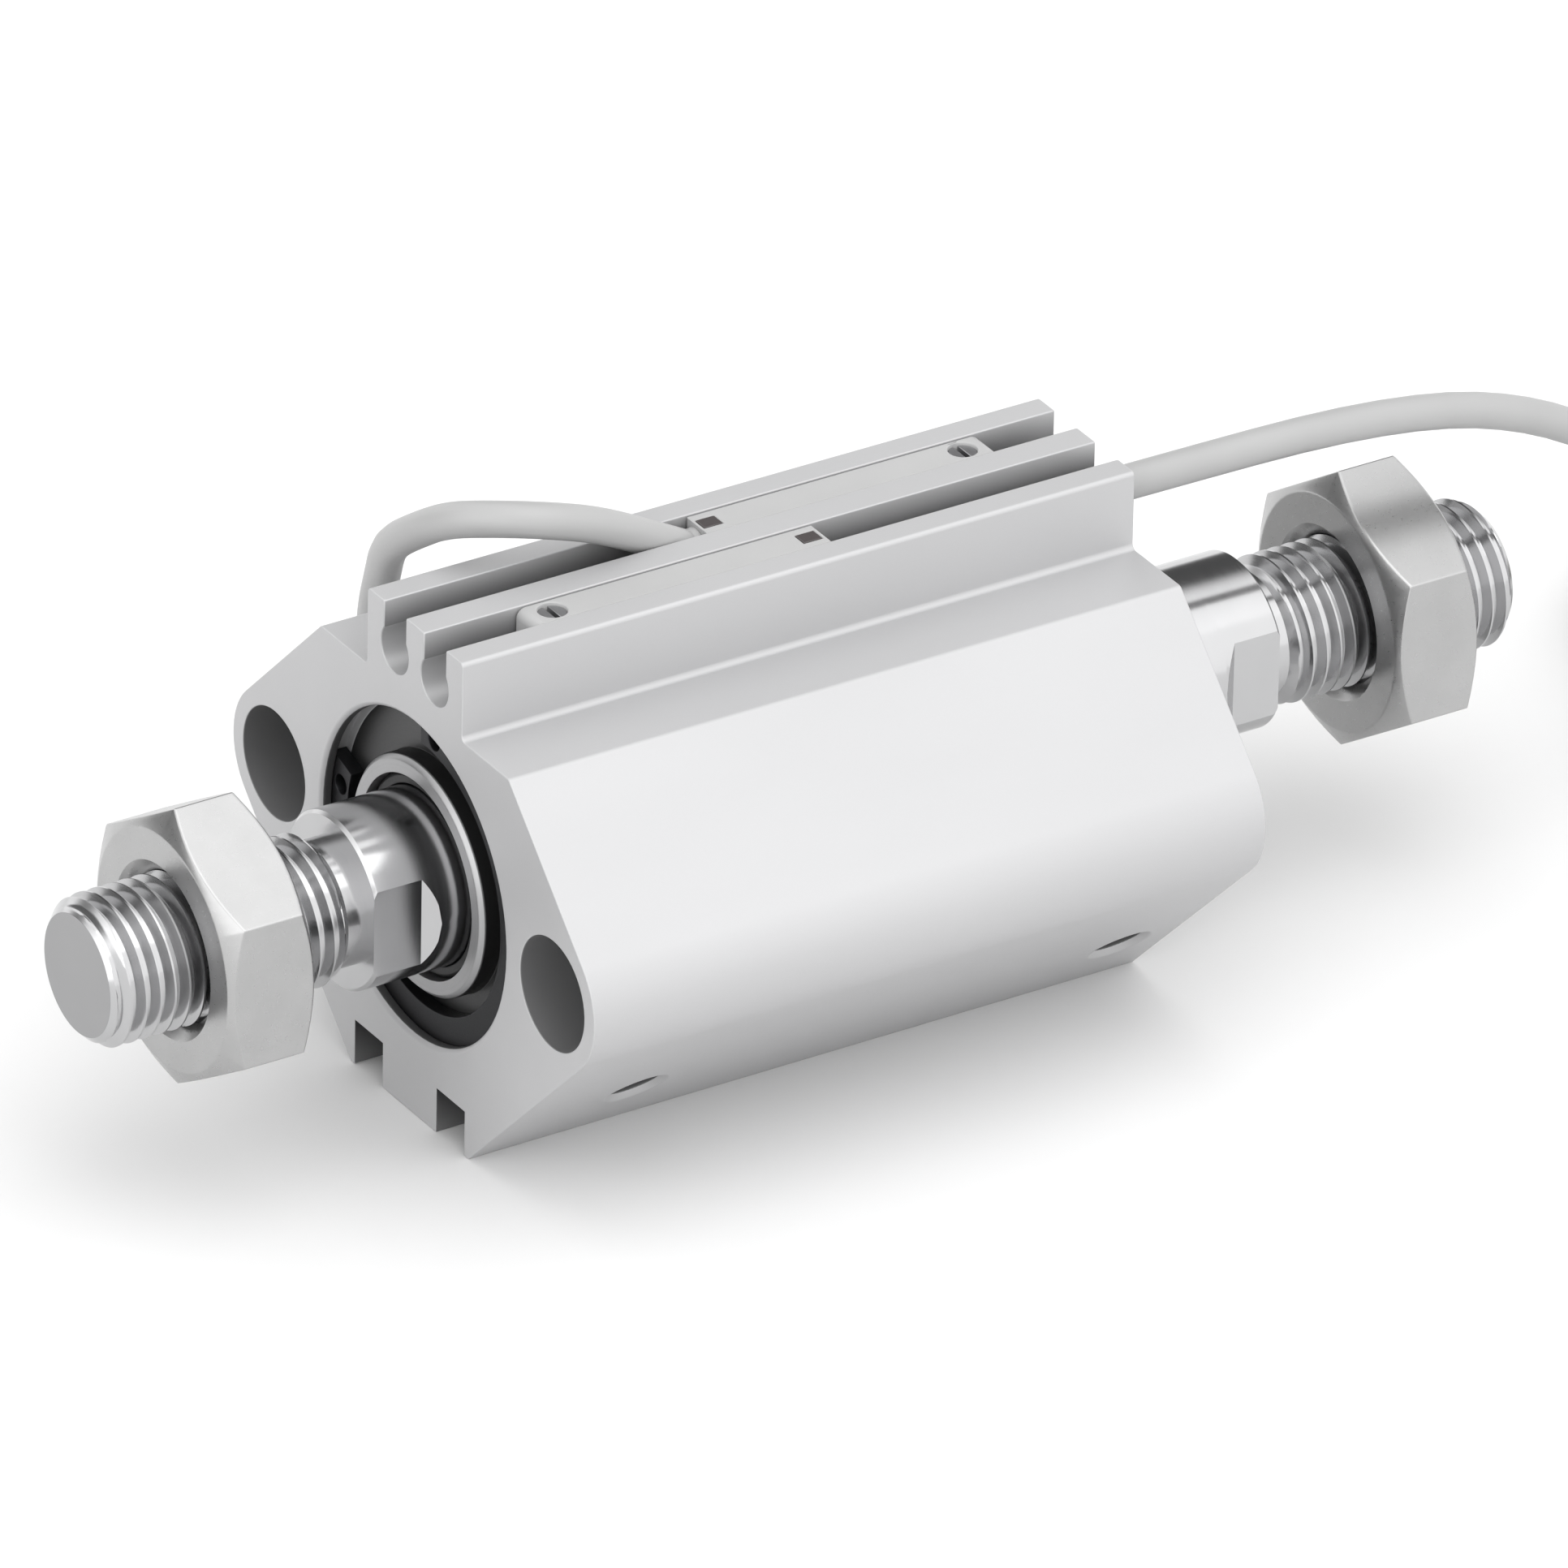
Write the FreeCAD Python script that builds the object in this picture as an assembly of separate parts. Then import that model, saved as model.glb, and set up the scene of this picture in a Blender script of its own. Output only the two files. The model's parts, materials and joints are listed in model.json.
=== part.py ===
import FreeCAD, Part
import math
import os

# Double rod compact air cylinder with two groove switches, in millimetres.
# Origin: centre of the front end face, on the rod axis. +X runs along the rod to the rear, +Z is up.

V = FreeCAD.Vector
X_AXIS = V(1, 0, 0)
Z_AXIS = V(0, 0, 1)

# Stroke and the lengths that stack up along the tube
stroke = 10.0
piston_length = 14.0
cover_length = 16.45
bumper_proud = 1.0
stop_gap = 0.05              # left between the piston and a bumper at the end of the stroke
rest_offset = 3.6            # how far the rod stands behind mid-stroke
body_length = 2 * (cover_length + bumper_proud + stop_gap) + piston_length + stroke

# Section of the extruded tube
hole_pitch = 40.0
end_radius = 6.0             # round ends, centred on the mounting holes
base_height = 20.0
ledge_height = 15.0
rail_height = 21.5
rail_width = 13.6
rail_edge_radius = 0.35
rail_root_radius = 0.5
ledge_edge_radius = 0.6
foot_edge_radius = 0.15
notch_inner = 3.9            # from the middle to the near wall of a foot notch
notch_width = 4.0
notch_depth = 3.8

# Bore, cover seats and retaining ring grooves
bore_radius = 12.5
seat_radius = 13.2
rear_seat = 4.7
mouth_chamfer = 0.3
ring_depth = 1.0
ring_thickness = 1.2
ring_groove_extra = 0.7      # groove depth beyond the seat wall
ring_play = 0.1
ring_reach = 2.2             # how far the ring stands in from the seat wall
ring_gap_from = 93.0         # angles as seen from the front, up is 90
ring_gap_to = 162.0
ring_eye_radius = 0.8
ring_eye_angle = 9.0

# Mounting holes and air ports
hole_radius = 2.75
counterbore_radius = 4.5
counterbore_depth = 7.0
port_radius = 2.1
port_countersink = 0.5
port_land = 0.2              # wall between the front cover's seat and its port
front_port_depth = 11.1
rear_port_depth = 5.1
rear_port_length = 5.4       # the rear port ends over the cover's seat
passage_radius = 1.0         # slanting hole from there into the bore behind the cover
passage_reach = 2.2

# Rod covers and what they hold
fit_clearance = 0.05
boss_radius = 9.5
boss_depth = 0.3
boss_chamfer = 0.4
spigot_radius = 11.4
seal_radius = 8.0
seal_depth = 0.9
seal_length = 3.0
seal_lip = 0.04              # gap between a seal lip and what it runs on
bush_wall = 1.0
bush_gap = 0.03              # running clearance of the rod in its bush
o_ring_section = 1.5
o_ring_squeeze = 0.2
bumper_inner = 8.7
bumper_width = 2.0
bumper_seat = 0.8

# Piston, its magnet and its running rings
piston_gap = 0.3
piston_chamfer = 0.5
magnet_width = 3.6
magnet_inner = 8.6
magnet_cover = 0.3           # gap between the magnet's rim and the piston's rim
running_ring_width = 3.0
running_ring_wall = 1.4
running_ring_inset = 1.4     # from the piston's end face to a ring groove
running_gap = 0.05
side_play = 0.15
seal_groove_radius = 0.5

# Piston rods
rod_radius = 7.0
spigot_rod_radius = 4.0
stud_radius = 3.0
stud_length = 10.0
stud_bottom = 1.0
gasket_section = 1.2
neck_length = 5.5            # end face to thread shoulder with the rod drawn in
flat_across = 12.0
flat_length = 4.1
flat_runout = 1.2            # slope at the flats' inner end
thread_radius = 5.9
thread_length = 22.0
thread_chamfer = 1.1
undercut_width = 1.6
undercut_depth = 0.9

# Rod nuts
nut_across = 20.0
nut_height = 7.4
front_nut_from_tip = 7.3
rear_nut_from_tip = 6.4
nut_chamfer_share = 0.95     # flat end circle over the width across flats
nut_chamfer_angle = 30.0
front_nut_turn = 28.0
rear_nut_turn = 26.0

# Switch grooves, switches and their leads
groove_pitch = 5.7
groove_radius = 1.95
groove_depth = 3.4           # rail top to the middle of the round groove
groove_mouth = 3.1
switch_length = 25.8
switch_gap = 0.1
switch_sunk = 0.1            # switch top below the rail top
near_switch_front = 7.9
far_switch_front = 26.3
switch_end_radius = 0.8
screw_radius = 1.1
screw_inset = 2.3            # from the switch's free end
screw_length = 2.6
screw_sunk = 0.25
screw_slot = 0.4
lens_inset = 0.3             # from the switch's lead end
lens_length = 1.6
lens_width = 1.3
lens_depth = 0.6
grommet_length = 2.0
far_grommet_length = 0.8
lead_radius = 1.4
near_lead_sunk = 3.2         # rail top to the lead's axis where it leaves its switch
far_lead_sunk = 1.9

# Put-away coils, their ties and the bare cores
floor = -base_height
tie_thickness = 0.7
tie_width = 2.4
tie_clearance = 0.1
tie_head = 1.6
lane = 2 * lead_radius
coil_radius = 15.6
coil_corner = 0.8
coil_base = floor + tie_thickness + tie_clearance
coil_top = coil_base + 2 * lane
near_coil = V(134.0, 12.4, 0)
far_coil = V(45.0, 34.2, 0)
near_tie_angle = 40.0
far_tie_angle = 60.0
near_tail_angle = 155.0
far_tail_angle = 270.0
tail_length = 7.6
core_radius = 0.5
core_length = 15.0
core_spread = 7.0
strand_radius = 0.27
strand_length = 5.0

# Places that follow from the sizes above
rail_half = rail_width / 2
groove_y = groove_pitch / 2
side_reach = hole_pitch / 2 + end_radius * math.sqrt(2)
port_way = V(0, -1, -1).normalize()
port_face = side_reach / math.sqrt(2)
piston_mid = body_length / 2 + rest_offset
piston_front = piston_mid - piston_length / 2
piston_rear = piston_mid + piston_length / 2
front_shoulder = -(neck_length + stroke / 2 - rest_offset)
rear_shoulder = body_length + neck_length + stroke / 2 + rest_offset
front_tip = front_shoulder - thread_length
rear_tip = rear_shoulder + thread_length
flange_depth = ring_depth + ring_thickness
front_seat = front_port_depth - port_radius - port_land
switch_top = rail_height - switch_sunk
groove_height = rail_height - groove_depth
near_switch_rear = near_switch_front + switch_length
far_switch_rear = far_switch_front + switch_length

# Lead routes: the first point sits in the switch's grommet, the last on the coil
near_route = [
    V(near_switch_rear + grommet_length, -groove_y, rail_height - near_lead_sunk),
    V(59.4, -groove_y, rail_height - near_lead_sunk),
    V(85.0, -3.5, 18.4),
    V(99.0, -3.7, 14.4),
    V(109.0, -3.9, 6.4),
    V(116.0, -4.1, -3.4),
    V(124.0, -4.3, -11.2),
    V(133.8, -4.6, -15.0),
]
far_route = [
    V(far_switch_front - far_grommet_length, groove_y, rail_height - far_lead_sunk),
    V(22.6, groove_y, rail_height - 0.3),
    V(18.2, 2.7, 23.7),
    V(13.4, 2.8, 25.5),
    V(9.8, 4.8, 26.3),
    V(7.5, 8.3, 25.6),
    V(6.7, 12.1, 22.7),
    V(7.9, 16.4, 18.5),
    V(9.9, 20.6, 14.3),
    V(11.4, 25.0, 10.9),
    V(12.9, 28.8, 6.8),
    V(14.6, 32.1, 1.4),
    V(16.9, 34.2, -5.4),
    V(20.9, 37.0, -11.2),
    V(26.3, 40.8, -14.6),
    V(31.6, 44.67, -15.0),
]


def cylinder(radius, x_from, x_to, y=0.0, z=0.0):
    """A round bar along the rod direction."""
    return Part.makeCylinder(radius, x_to - x_from, V(x_from, y, z), X_AXIS)


def tube(outer, inner, x_from, x_to):
    """A plain ring about the rod axis."""
    return cylinder(outer, x_from, x_to).cut(cylinder(inner, x_from - 1, x_to + 1))


def turned(profile, sweep=360):
    """A solid of revolution about the rod axis, from (x, radius) corners; the sweep starts straight up."""
    corners = [V(x, 0, r) for x, r in profile]
    face = Part.Face(Part.makePolygon(corners + corners[:1]))
    return face.revolve(V(), X_AXIS, sweep)


def block(low, high):
    """A box between two corners."""
    size = high - low
    return Part.makeBox(size.x, size.y, size.z, low)


def mirrored(shape):
    """The same shape at the other end of the tube."""
    return shape.mirror(V(body_length / 2, 0, 0), X_AXIS)


def rounded_outline(corners):
    """A closed wire in the Y-Z plane with an arc of its own radius at each (y, z, radius) corner."""
    spans = []
    for i, (y, z, radius) in enumerate(corners):
        here = V(0, y, z)
        before = V(0, *corners[i - 1][:2]) - here
        after = V(0, *corners[(i + 1) % len(corners)][:2]) - here
        before.normalize()
        after.normalize()
        half = before.getAngle(after) / 2
        bisector = before + after
        bisector.normalize()
        run = radius / math.tan(half)
        middle = here + bisector * (radius / math.sin(half) - radius)
        spans.append((here + before * run, middle, here + after * run))
    edges = []
    for i, (start, middle, end) in enumerate(spans):
        edges.append(Part.LineSegment(spans[i - 1][2], start).toShape())
        edges.append(Part.Arc(start, middle, end).toShape())
    return Part.Wire(edges)


def extruded(wire, x_from, x_to):
    """A Y-Z outline drawn out along the rod direction."""
    face = Part.Face(wire)
    face.translate(V(x_from, 0, 0))
    return face.extrude(V(x_to - x_from, 0, 0))


def tube_outline():
    """The extrusion's outer section: switch rail, ledges, round ends and foot."""
    side = [
        (rail_half, rail_height, rail_edge_radius),
        (rail_half, ledge_height, rail_root_radius),
        (side_reach - ledge_height, ledge_height, ledge_edge_radius),
        (side_reach, 0.0, end_radius),
        (side_reach - base_height, -base_height, foot_edge_radius),
    ]
    other = [(-y, z, radius) for y, z, radius in reversed(side)]
    return rounded_outline(side + other)


def bore_cut():
    """The stepped bore with its two cover seats and chamfered mouths."""
    mouth = [(0, 0), (0, seat_radius + mouth_chamfer), (mouth_chamfer, seat_radius)]
    front = mouth + [(front_seat, seat_radius), (front_seat, bore_radius)]
    rear = mouth + [(rear_seat, seat_radius), (rear_seat, bore_radius)]
    return turned(front + [(body_length - x, r) for x, r in reversed(rear)])


def ring_groove_cut():
    """One retaining ring groove, at the front."""
    return tube(seat_radius + ring_groove_extra, seat_radius - 1, ring_depth, flange_depth + ring_play)


def mounting_hole_cut(y):
    """One through hole with a counterbore at each end."""
    cut = cylinder(hole_radius, -1, body_length + 1, y)
    for x_from, x_to in ((-1, counterbore_depth), (body_length - counterbore_depth, body_length + 1)):
        cut = cut.fuse(cylinder(counterbore_radius, x_from, x_to, y))
    return cut


def port_cut(x, depth):
    """One threaded port in the lower near side, square to that slanting face."""
    mouth_radius = port_radius + port_countersink
    hole = Part.makeCylinder(port_radius, depth + 1, port_way * (port_face - depth), port_way)
    start = port_way * (port_face - port_countersink)
    hole = hole.fuse(Part.makeCone(port_radius, mouth_radius, port_countersink, start, port_way))
    hole = hole.fuse(Part.makeCylinder(mouth_radius, 1, port_way * port_face, port_way))
    hole.translate(V(x, 0, 0))
    return hole


def rear_passage_cut():
    """The slanting hole from the rear port's bottom to the bore behind the rear cover's seat."""
    start = port_way * (port_face - rear_port_length + passage_radius)
    end = port_way * (bore_radius - passage_radius)
    start.x = body_length - rear_port_depth
    end.x = body_length - rear_seat - passage_reach
    way = end - start
    return Part.makeCylinder(passage_radius, way.Length, start, way)


def switch_groove_cut(y):
    """One round groove with a narrow mouth in the rail's top."""
    cut = cylinder(groove_radius, -1, body_length + 1, y, groove_height)
    low = V(-1, y - groove_mouth / 2, groove_height)
    return cut.fuse(block(low, V(body_length + 1, y + groove_mouth / 2, rail_height + 1)))


def foot_notch_cut(side):
    """One lengthwise notch in the foot."""
    walls = sorted((side * notch_inner, side * (notch_inner + notch_width)))
    low = V(-1, walls[0], -base_height - 1)
    return block(low, V(body_length + 1, walls[1], -base_height + notch_depth))


def cylinder_tube():
    cuts = [bore_cut(), ring_groove_cut(), mirrored(ring_groove_cut())]
    cuts.append(port_cut(front_port_depth, port_face - bore_radius + 1))
    cuts.append(port_cut(body_length - rear_port_depth, rear_port_length))
    cuts.append(rear_passage_cut())
    for side in (-1, 1):
        cuts.append(mounting_hole_cut(side * hole_pitch / 2))
        cuts.append(switch_groove_cut(side * groove_y))
        cuts.append(foot_notch_cut(side))
    return extruded(tube_outline(), 0, body_length).cut(cuts)


def rod_cover(seat):
    """The front rod cover for a seat of the given depth."""
    flange = seat_radius - fit_clearance
    bush = rod_radius + bush_gap + bush_wall + fit_clearance
    seal_end = seal_depth + seal_length
    groove = flange - o_ring_section + o_ring_squeeze
    groove_mid = (flange_depth + seat) / 2
    bumper_outer = bumper_inner + bumper_width + fit_clearance
    recess = cover_length - bumper_seat
    body = turned([
        (boss_depth, seal_radius + fit_clearance),
        (boss_depth, boss_radius - boss_chamfer),
        (boss_depth + boss_chamfer, boss_radius),
        (flange_depth, boss_radius),
        (flange_depth, flange),
        (groove_mid - o_ring_section / 2, flange),
        (groove_mid - o_ring_section / 2, groove),
        (groove_mid + o_ring_section / 2, groove),
        (groove_mid + o_ring_section / 2, flange),
        (seat, flange),
        (seat, spigot_radius),
        (cover_length, spigot_radius),
        (cover_length, bumper_outer),
        (recess, bumper_outer),
        (recess, bumper_inner - fit_clearance),
        (cover_length, bumper_inner - fit_clearance),
        (cover_length, bush),
        (seal_end, bush),
        (seal_end, seal_radius + fit_clearance),
    ])
    return body


def cover_o_ring(seat):
    """The static seal in the cover's flange, squeezed to the seat wall."""
    mid = (flange_depth + seat) / 2
    outer = seat_radius - fit_clearance / 2
    inner = seat_radius - fit_clearance - o_ring_section + o_ring_squeeze
    half = o_ring_section / 2 - fit_clearance
    corner = half / 2
    return turned([
        (mid - half, inner + corner), (mid - half, outer - corner), (mid - half + corner, outer),
        (mid + half - corner, outer), (mid + half, outer - corner), (mid + half, inner + corner),
        (mid + half - corner, inner), (mid - half + corner, inner),
    ])


def retaining_ring():
    """An open spring ring of flat section with a plier eye near each end."""
    outer = seat_radius + ring_groove_extra - ring_play
    inner = seat_radius - ring_reach
    section = [(ring_depth, inner), (ring_depth, outer), (flange_depth, outer), (flange_depth, inner)]
    ring = turned(section, 360 - (ring_gap_to - ring_gap_from))
    ring.rotate(V(), X_AXIS, 90 - ring_gap_from)
    eye_mid = (inner + seat_radius) / 2
    for angle in (ring_gap_from - ring_eye_angle, ring_gap_to + ring_eye_angle):
        y = -eye_mid * math.cos(math.radians(angle))
        z = eye_mid * math.sin(math.radians(angle))
        ring = ring.cut(cylinder(ring_eye_radius, ring_depth - 1, flange_depth + 1, y, z))
    return ring


def rod_bush():
    """The plain bearing that guides the rod in its cover."""
    inner = rod_radius + bush_gap
    return tube(inner + bush_wall, inner, seal_depth + seal_length, cover_length)


def rod_seal():
    """The lipped rod seal, with a wiping lip outside and a pressure groove inside."""
    lip = rod_radius + seal_lip
    start = seal_depth
    end = seal_depth + seal_length
    wall = (seal_radius - lip) / 3
    heel = lip + wall / 2
    return turned([
        (start, lip + 2 * wall), (start + wall, seal_radius), (end, seal_radius),
        (end, seal_radius - wall), (end - wall, lip + 1.5 * wall), (end, lip + wall), (end, heel),
        (end - wall, lip), (end - 2 * wall, heel), (start + wall, heel), (start + wall / 2, lip),
        (start, lip + wall / 4),
    ])


def bumper():
    """The rubber stop ring in a cover's inner end."""
    low = cover_length - bumper_seat
    high = cover_length + bumper_proud
    inner = bumper_inner
    outer = bumper_inner + bumper_width
    edge = bumper_width / 6
    return turned([
        (low, inner), (low, outer), (high - edge, outer), (high, outer - edge), (high, inner + edge),
        (high - edge, inner),
    ])


def piston_half():
    """The front half of the piston: a ring groove outside and half the magnet's seat inside."""
    rim = bore_radius - piston_gap
    groove_floor = bore_radius - running_gap - running_ring_wall - running_gap
    groove_from = piston_front + running_ring_inset
    groove_to = groove_from + running_ring_width + 2 * side_play
    magnet_from = piston_mid - magnet_width / 2
    return turned([
        (piston_front, spigot_rod_radius + fit_clearance),
        (piston_front, rim - piston_chamfer), (piston_front + piston_chamfer, rim),
        (groove_from, rim), (groove_from, groove_floor), (groove_to, groove_floor), (groove_to, rim),
        (magnet_from, rim), (magnet_from, magnet_inner - fit_clearance),
        (piston_mid, magnet_inner - fit_clearance), (piston_mid, spigot_rod_radius + fit_clearance),
    ])


def piston_flipped(shape):
    """The same shape on the other side of the piston's middle."""
    return shape.mirror(V(piston_mid, 0, 0), X_AXIS)


def front_piston_half():
    recess = turned([
        (piston_front, spigot_rod_radius), (piston_front, spigot_rod_radius + gasket_section + fit_clearance),
        (piston_front + gasket_section + fit_clearance, spigot_rod_radius + gasket_section + fit_clearance),
        (piston_front + gasket_section + fit_clearance, spigot_rod_radius),
    ])
    return piston_half().cut(recess)


def rear_piston_half():
    return piston_flipped(piston_half())


def magnet_ring():
    rim = bore_radius - piston_gap - magnet_cover
    half = magnet_width / 2
    return tube(rim, magnet_inner, piston_mid - half, piston_mid + half)


def wear_ring():
    """The guide band in the piston's front groove."""
    start = piston_front + running_ring_inset + side_play
    outer = bore_radius - running_gap
    return tube(outer, outer - running_ring_wall, start, start + running_ring_width)


def piston_seal():
    """The lipped seal in the piston's rear groove."""
    start = piston_front + running_ring_inset + side_play
    end = start + running_ring_width
    outer = bore_radius - running_gap
    inner = outer - running_ring_wall
    mid = (start + end) / 2
    waist = outer - seal_groove_radius
    third = running_ring_width / 4
    return piston_flipped(turned([
        (start, inner), (start, waist), (start + third / 2, outer), (start + third, outer), (mid, waist),
        (end - third, outer), (end - third / 2, outer), (end, waist), (end, inner),
    ]))


def rod_gasket():
    """The small ring that seals the piston to the rod's spigot."""
    inner = spigot_rod_radius + fit_clearance
    return tube(spigot_rod_radius + gasket_section, inner, piston_front, piston_front + gasket_section)


def rod_end(shoulder, outward):
    """The threaded end beyond a shoulder: an undercut, the thread's outside and a chamfered tip."""
    tip = shoulder + outward * thread_length
    neck = thread_radius - undercut_depth
    ramp = shoulder + outward * undercut_width
    return [
        (shoulder, neck), (ramp, neck), (ramp + outward * undercut_depth, thread_radius),
        (tip - outward * thread_chamfer, thread_radius), (tip, thread_radius - thread_chamfer), (tip, 0),
    ]


def wrench_flats_cut(shoulder, inward):
    """The two slabs that leave a pair of flats beside a shoulder, sloped at their inner end."""
    flat = flat_across / 2
    end = shoulder + inward * flat_length
    slope = end + inward * flat_runout
    slabs = []
    for side in (-1, 1):
        corners = [(shoulder, flat), (end, flat), (slope, rod_radius), (shoulder, rod_radius)]
        points = [V(x, side * y, -rod_radius) for x, y in corners]
        slabs.append(Part.Face(Part.makePolygon(points + points[:1])).extrude(Z_AXIS * (2 * rod_radius)))
    return slabs


def front_piston_rod():
    """The rod that passes through the piston and screws into the other one."""
    stud_end = piston_rear + stud_length
    profile = list(reversed(rod_end(front_shoulder, -1)))
    profile += [
        (front_shoulder, rod_radius), (piston_front, rod_radius), (piston_front, spigot_rod_radius),
        (piston_rear, spigot_rod_radius), (piston_rear, stud_radius), (stud_end, stud_radius), (stud_end, 0),
    ]
    return turned(profile).cut(wrench_flats_cut(front_shoulder, 1))


def rear_piston_rod():
    """The rod that clamps the piston halves, tapped for the other rod's stud."""
    hole = stud_radius + fit_clearance
    hole_end = piston_rear + stud_length + stud_bottom
    profile = [
        (hole_end, 0), (hole_end, hole), (piston_rear, hole), (piston_rear, rod_radius),
        (rear_shoulder, rod_radius),
    ]
    return turned(profile + rod_end(rear_shoulder, 1)).cut(wrench_flats_cut(rear_shoulder, -1))


def rod_nut(x_from, turn):
    """A hexagon nut, chamfered on both faces."""
    corner = nut_across / math.sqrt(3)
    angles = [math.radians(turn + 60 * k) for k in range(7)]
    points = [V(x_from, corner * math.cos(a), corner * math.sin(a)) for a in angles]
    hexagon = Part.Face(Part.makePolygon(points)).extrude(X_AXIS * nut_height)
    circle = nut_chamfer_share * nut_across / 2
    over = corner + 1
    drop = (over - circle) * math.tan(math.radians(nut_chamfer_angle))
    end = x_from + nut_height
    cone = turned([
        (x_from, 0), (x_from, circle), (x_from + drop, over), (end - drop, over), (end, circle), (end, 0),
    ])
    bore = thread_radius + fit_clearance
    mouth = bore + thread_chamfer / 2
    depth = mouth - bore
    hole = turned([
        (x_from - 1, 0), (x_from - 1, mouth), (x_from, mouth), (x_from + depth, bore), (end - depth, bore),
        (end, mouth), (end + 1, mouth), (end + 1, 0),
    ])
    return hexagon.common(cone).cut(hole)


def switch_outline(y):
    """The section of a switch: a round foot in the groove and a neck through its mouth."""
    foot = groove_radius - switch_gap
    neck = groove_mouth / 2 - switch_gap
    rise = math.sqrt(foot * foot - neck * neck)
    left = V(0, y - neck, groove_height + rise)
    right = V(0, y + neck, groove_height + rise)
    bottom = V(0, y, groove_height - foot)
    top_left = V(0, y - neck, switch_top)
    top_right = V(0, y + neck, switch_top)
    return Part.Wire([
        Part.Arc(left, bottom, right).toShape(),
        Part.LineSegment(right, top_right).toShape(),
        Part.LineSegment(top_right, top_left).toShape(),
        Part.LineSegment(top_left, left).toShape(),
    ])


def screw_place(x_from, lead_end):
    """The set screw's place along the tube, near the switch's free end."""
    return x_from + screw_inset if lead_end > 0 else x_from + switch_length - screw_inset


def lens_span(x_from, lead_end):
    """The two ends of the lamp window, near the switch's lead end."""
    start = x_from + switch_length - lens_inset - lens_length if lead_end > 0 else x_from + lens_inset
    return start, start + lens_length


def lens_block(x_from, y, lead_end, room):
    """The lamp window, or with some room the pocket that holds it."""
    start, end = lens_span(x_from, lead_end)
    half = lens_width / 2 + room
    low = V(start - room, y - half, switch_top - lens_depth)
    return block(low, V(end + room, y + half, switch_top))


def switch_case(x_from, y, lead_end):
    """A moulded stick switch; lead_end is +1 where the lead leaves to the rear."""
    case = extruded(switch_outline(y), x_from, x_from + switch_length)
    free_end = x_from if lead_end > 0 else x_from + switch_length
    top_edge = V(free_end, y, switch_top)
    edges = [edge for edge in case.Edges if edge.CenterOfMass.distanceToPoint(top_edge) < 0.01]
    case = case.makeFillet(switch_end_radius, edges)
    hole_low = V(screw_place(x_from, lead_end), y, switch_top - screw_sunk - screw_length)
    hole = Part.makeCylinder(screw_radius + fit_clearance, screw_length + screw_sunk + 1, hole_low, Z_AXIS)
    return case.cut([hole, lens_block(x_from, y, lead_end, fit_clearance)])


def switch_screw(x_from, y, lead_end):
    """The slotted set screw that locks a switch in its groove."""
    x = screw_place(x_from, lead_end)
    top = switch_top - screw_sunk
    body = Part.makeCylinder(screw_radius, screw_length, V(x, y, top - screw_length), Z_AXIS)
    half = screw_slot / 2
    reach = 2 * screw_radius
    slot = block(V(x - half, y - reach, top - 2 * screw_slot), V(x + half, y + reach, top + 1))
    return body.cut(slot)


def lead_grommet(exit_point, outward):
    """The tapered collar between a switch and the point where its lead begins."""
    x_from = near_switch_rear if outward > 0 else far_switch_front
    big = groove_mouth / 2 - fit_clearance
    foot = V(x_from, exit_point.y, exit_point.z)
    return Part.makeCone(big, lead_radius, abs(exit_point.x - x_from), foot, X_AXIS * outward)


def lead_path(points):
    """Straight runs joined by arcs as large as their runs allow; also the radii of the arcs."""
    edges = []
    radii = []
    last = points[0]
    for before, here, after in zip(points, points[1:], points[2:]):
        back = before - here
        ahead = after - here
        shorter = min(back.Length, ahead.Length)
        back.normalize()
        ahead.normalize()
        half_turn = (math.pi - back.getAngle(ahead)) / 2
        run = 0.45 * shorter
        radius = run / math.tan(half_turn)
        bisector = back + ahead
        bisector.normalize()
        start = here + back * run
        middle = here + bisector * (radius / math.cos(half_turn) - radius)
        end = here + ahead * run
        edges.append(Part.LineSegment(last, start).toShape())
        edges.append(Part.Arc(start, middle, end).toShape())
        radii.append(radius)
        last = end
    edges.append(Part.LineSegment(last, points[-1]).toShape())
    return Part.Wire(edges), radii


def lead_tube(name, points):
    """The free stretch of a lead, with its bend radii and its volume printed."""
    path, radii = lead_path(points)
    section = Part.Wire(Part.Circle(points[0], points[1] - points[0], lead_radius).toShape())
    solid = path.makePipeShell([section], True, True)
    share = solid.Volume / (math.pi * lead_radius ** 2 * path.Length)
    print(name, "radii", [round(r, 1) for r in radii])
    print(name, "length", round(path.Length, 1), "volume share", round(share, 4))
    return solid


def lead_coil(centre):
    """The put-away turns of a lead as one ring of their outer shape."""
    inner = coil_radius - lane
    outer = coil_radius + lane
    c = coil_corner
    outline = [
        (inner + c, coil_base), (outer - c, coil_base), (outer, coil_base + c), (outer, coil_top - c),
        (outer - c, coil_top), (inner + c, coil_top), (inner, coil_top - c), (inner, coil_base + c),
    ]
    points = [centre + V(r, 0, z) for r, z in outline]
    return Part.Face(Part.makePolygon(points + points[:1])).revolve(centre, Z_AXIS, 360)


def lead_tie(centre, angle):
    """The strap round a coil's section, with its square head outside."""
    half = tie_width / 2
    inner = math.sqrt((coil_radius - lane) ** 2 - half ** 2) - tie_clearance
    outer = coil_radius + lane + tie_clearance
    low = coil_base - tie_clearance
    high = coil_top + tie_clearance
    t = tie_thickness
    strap = block(V(inner - t, -half, low - t), V(outer + t, half, high + t))
    strap = strap.cut(block(V(inner, -half - 1, low), V(outer, half + 1, high)))
    head_half = half + t
    head_low = V(outer + t, -head_half, low + lead_radius)
    strap = strap.fuse(block(head_low, head_low + V(tie_head, 2 * head_half, lane)))
    strap.rotate(V(), Z_AXIS, angle)
    strap.translate(centre)
    return strap


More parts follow.
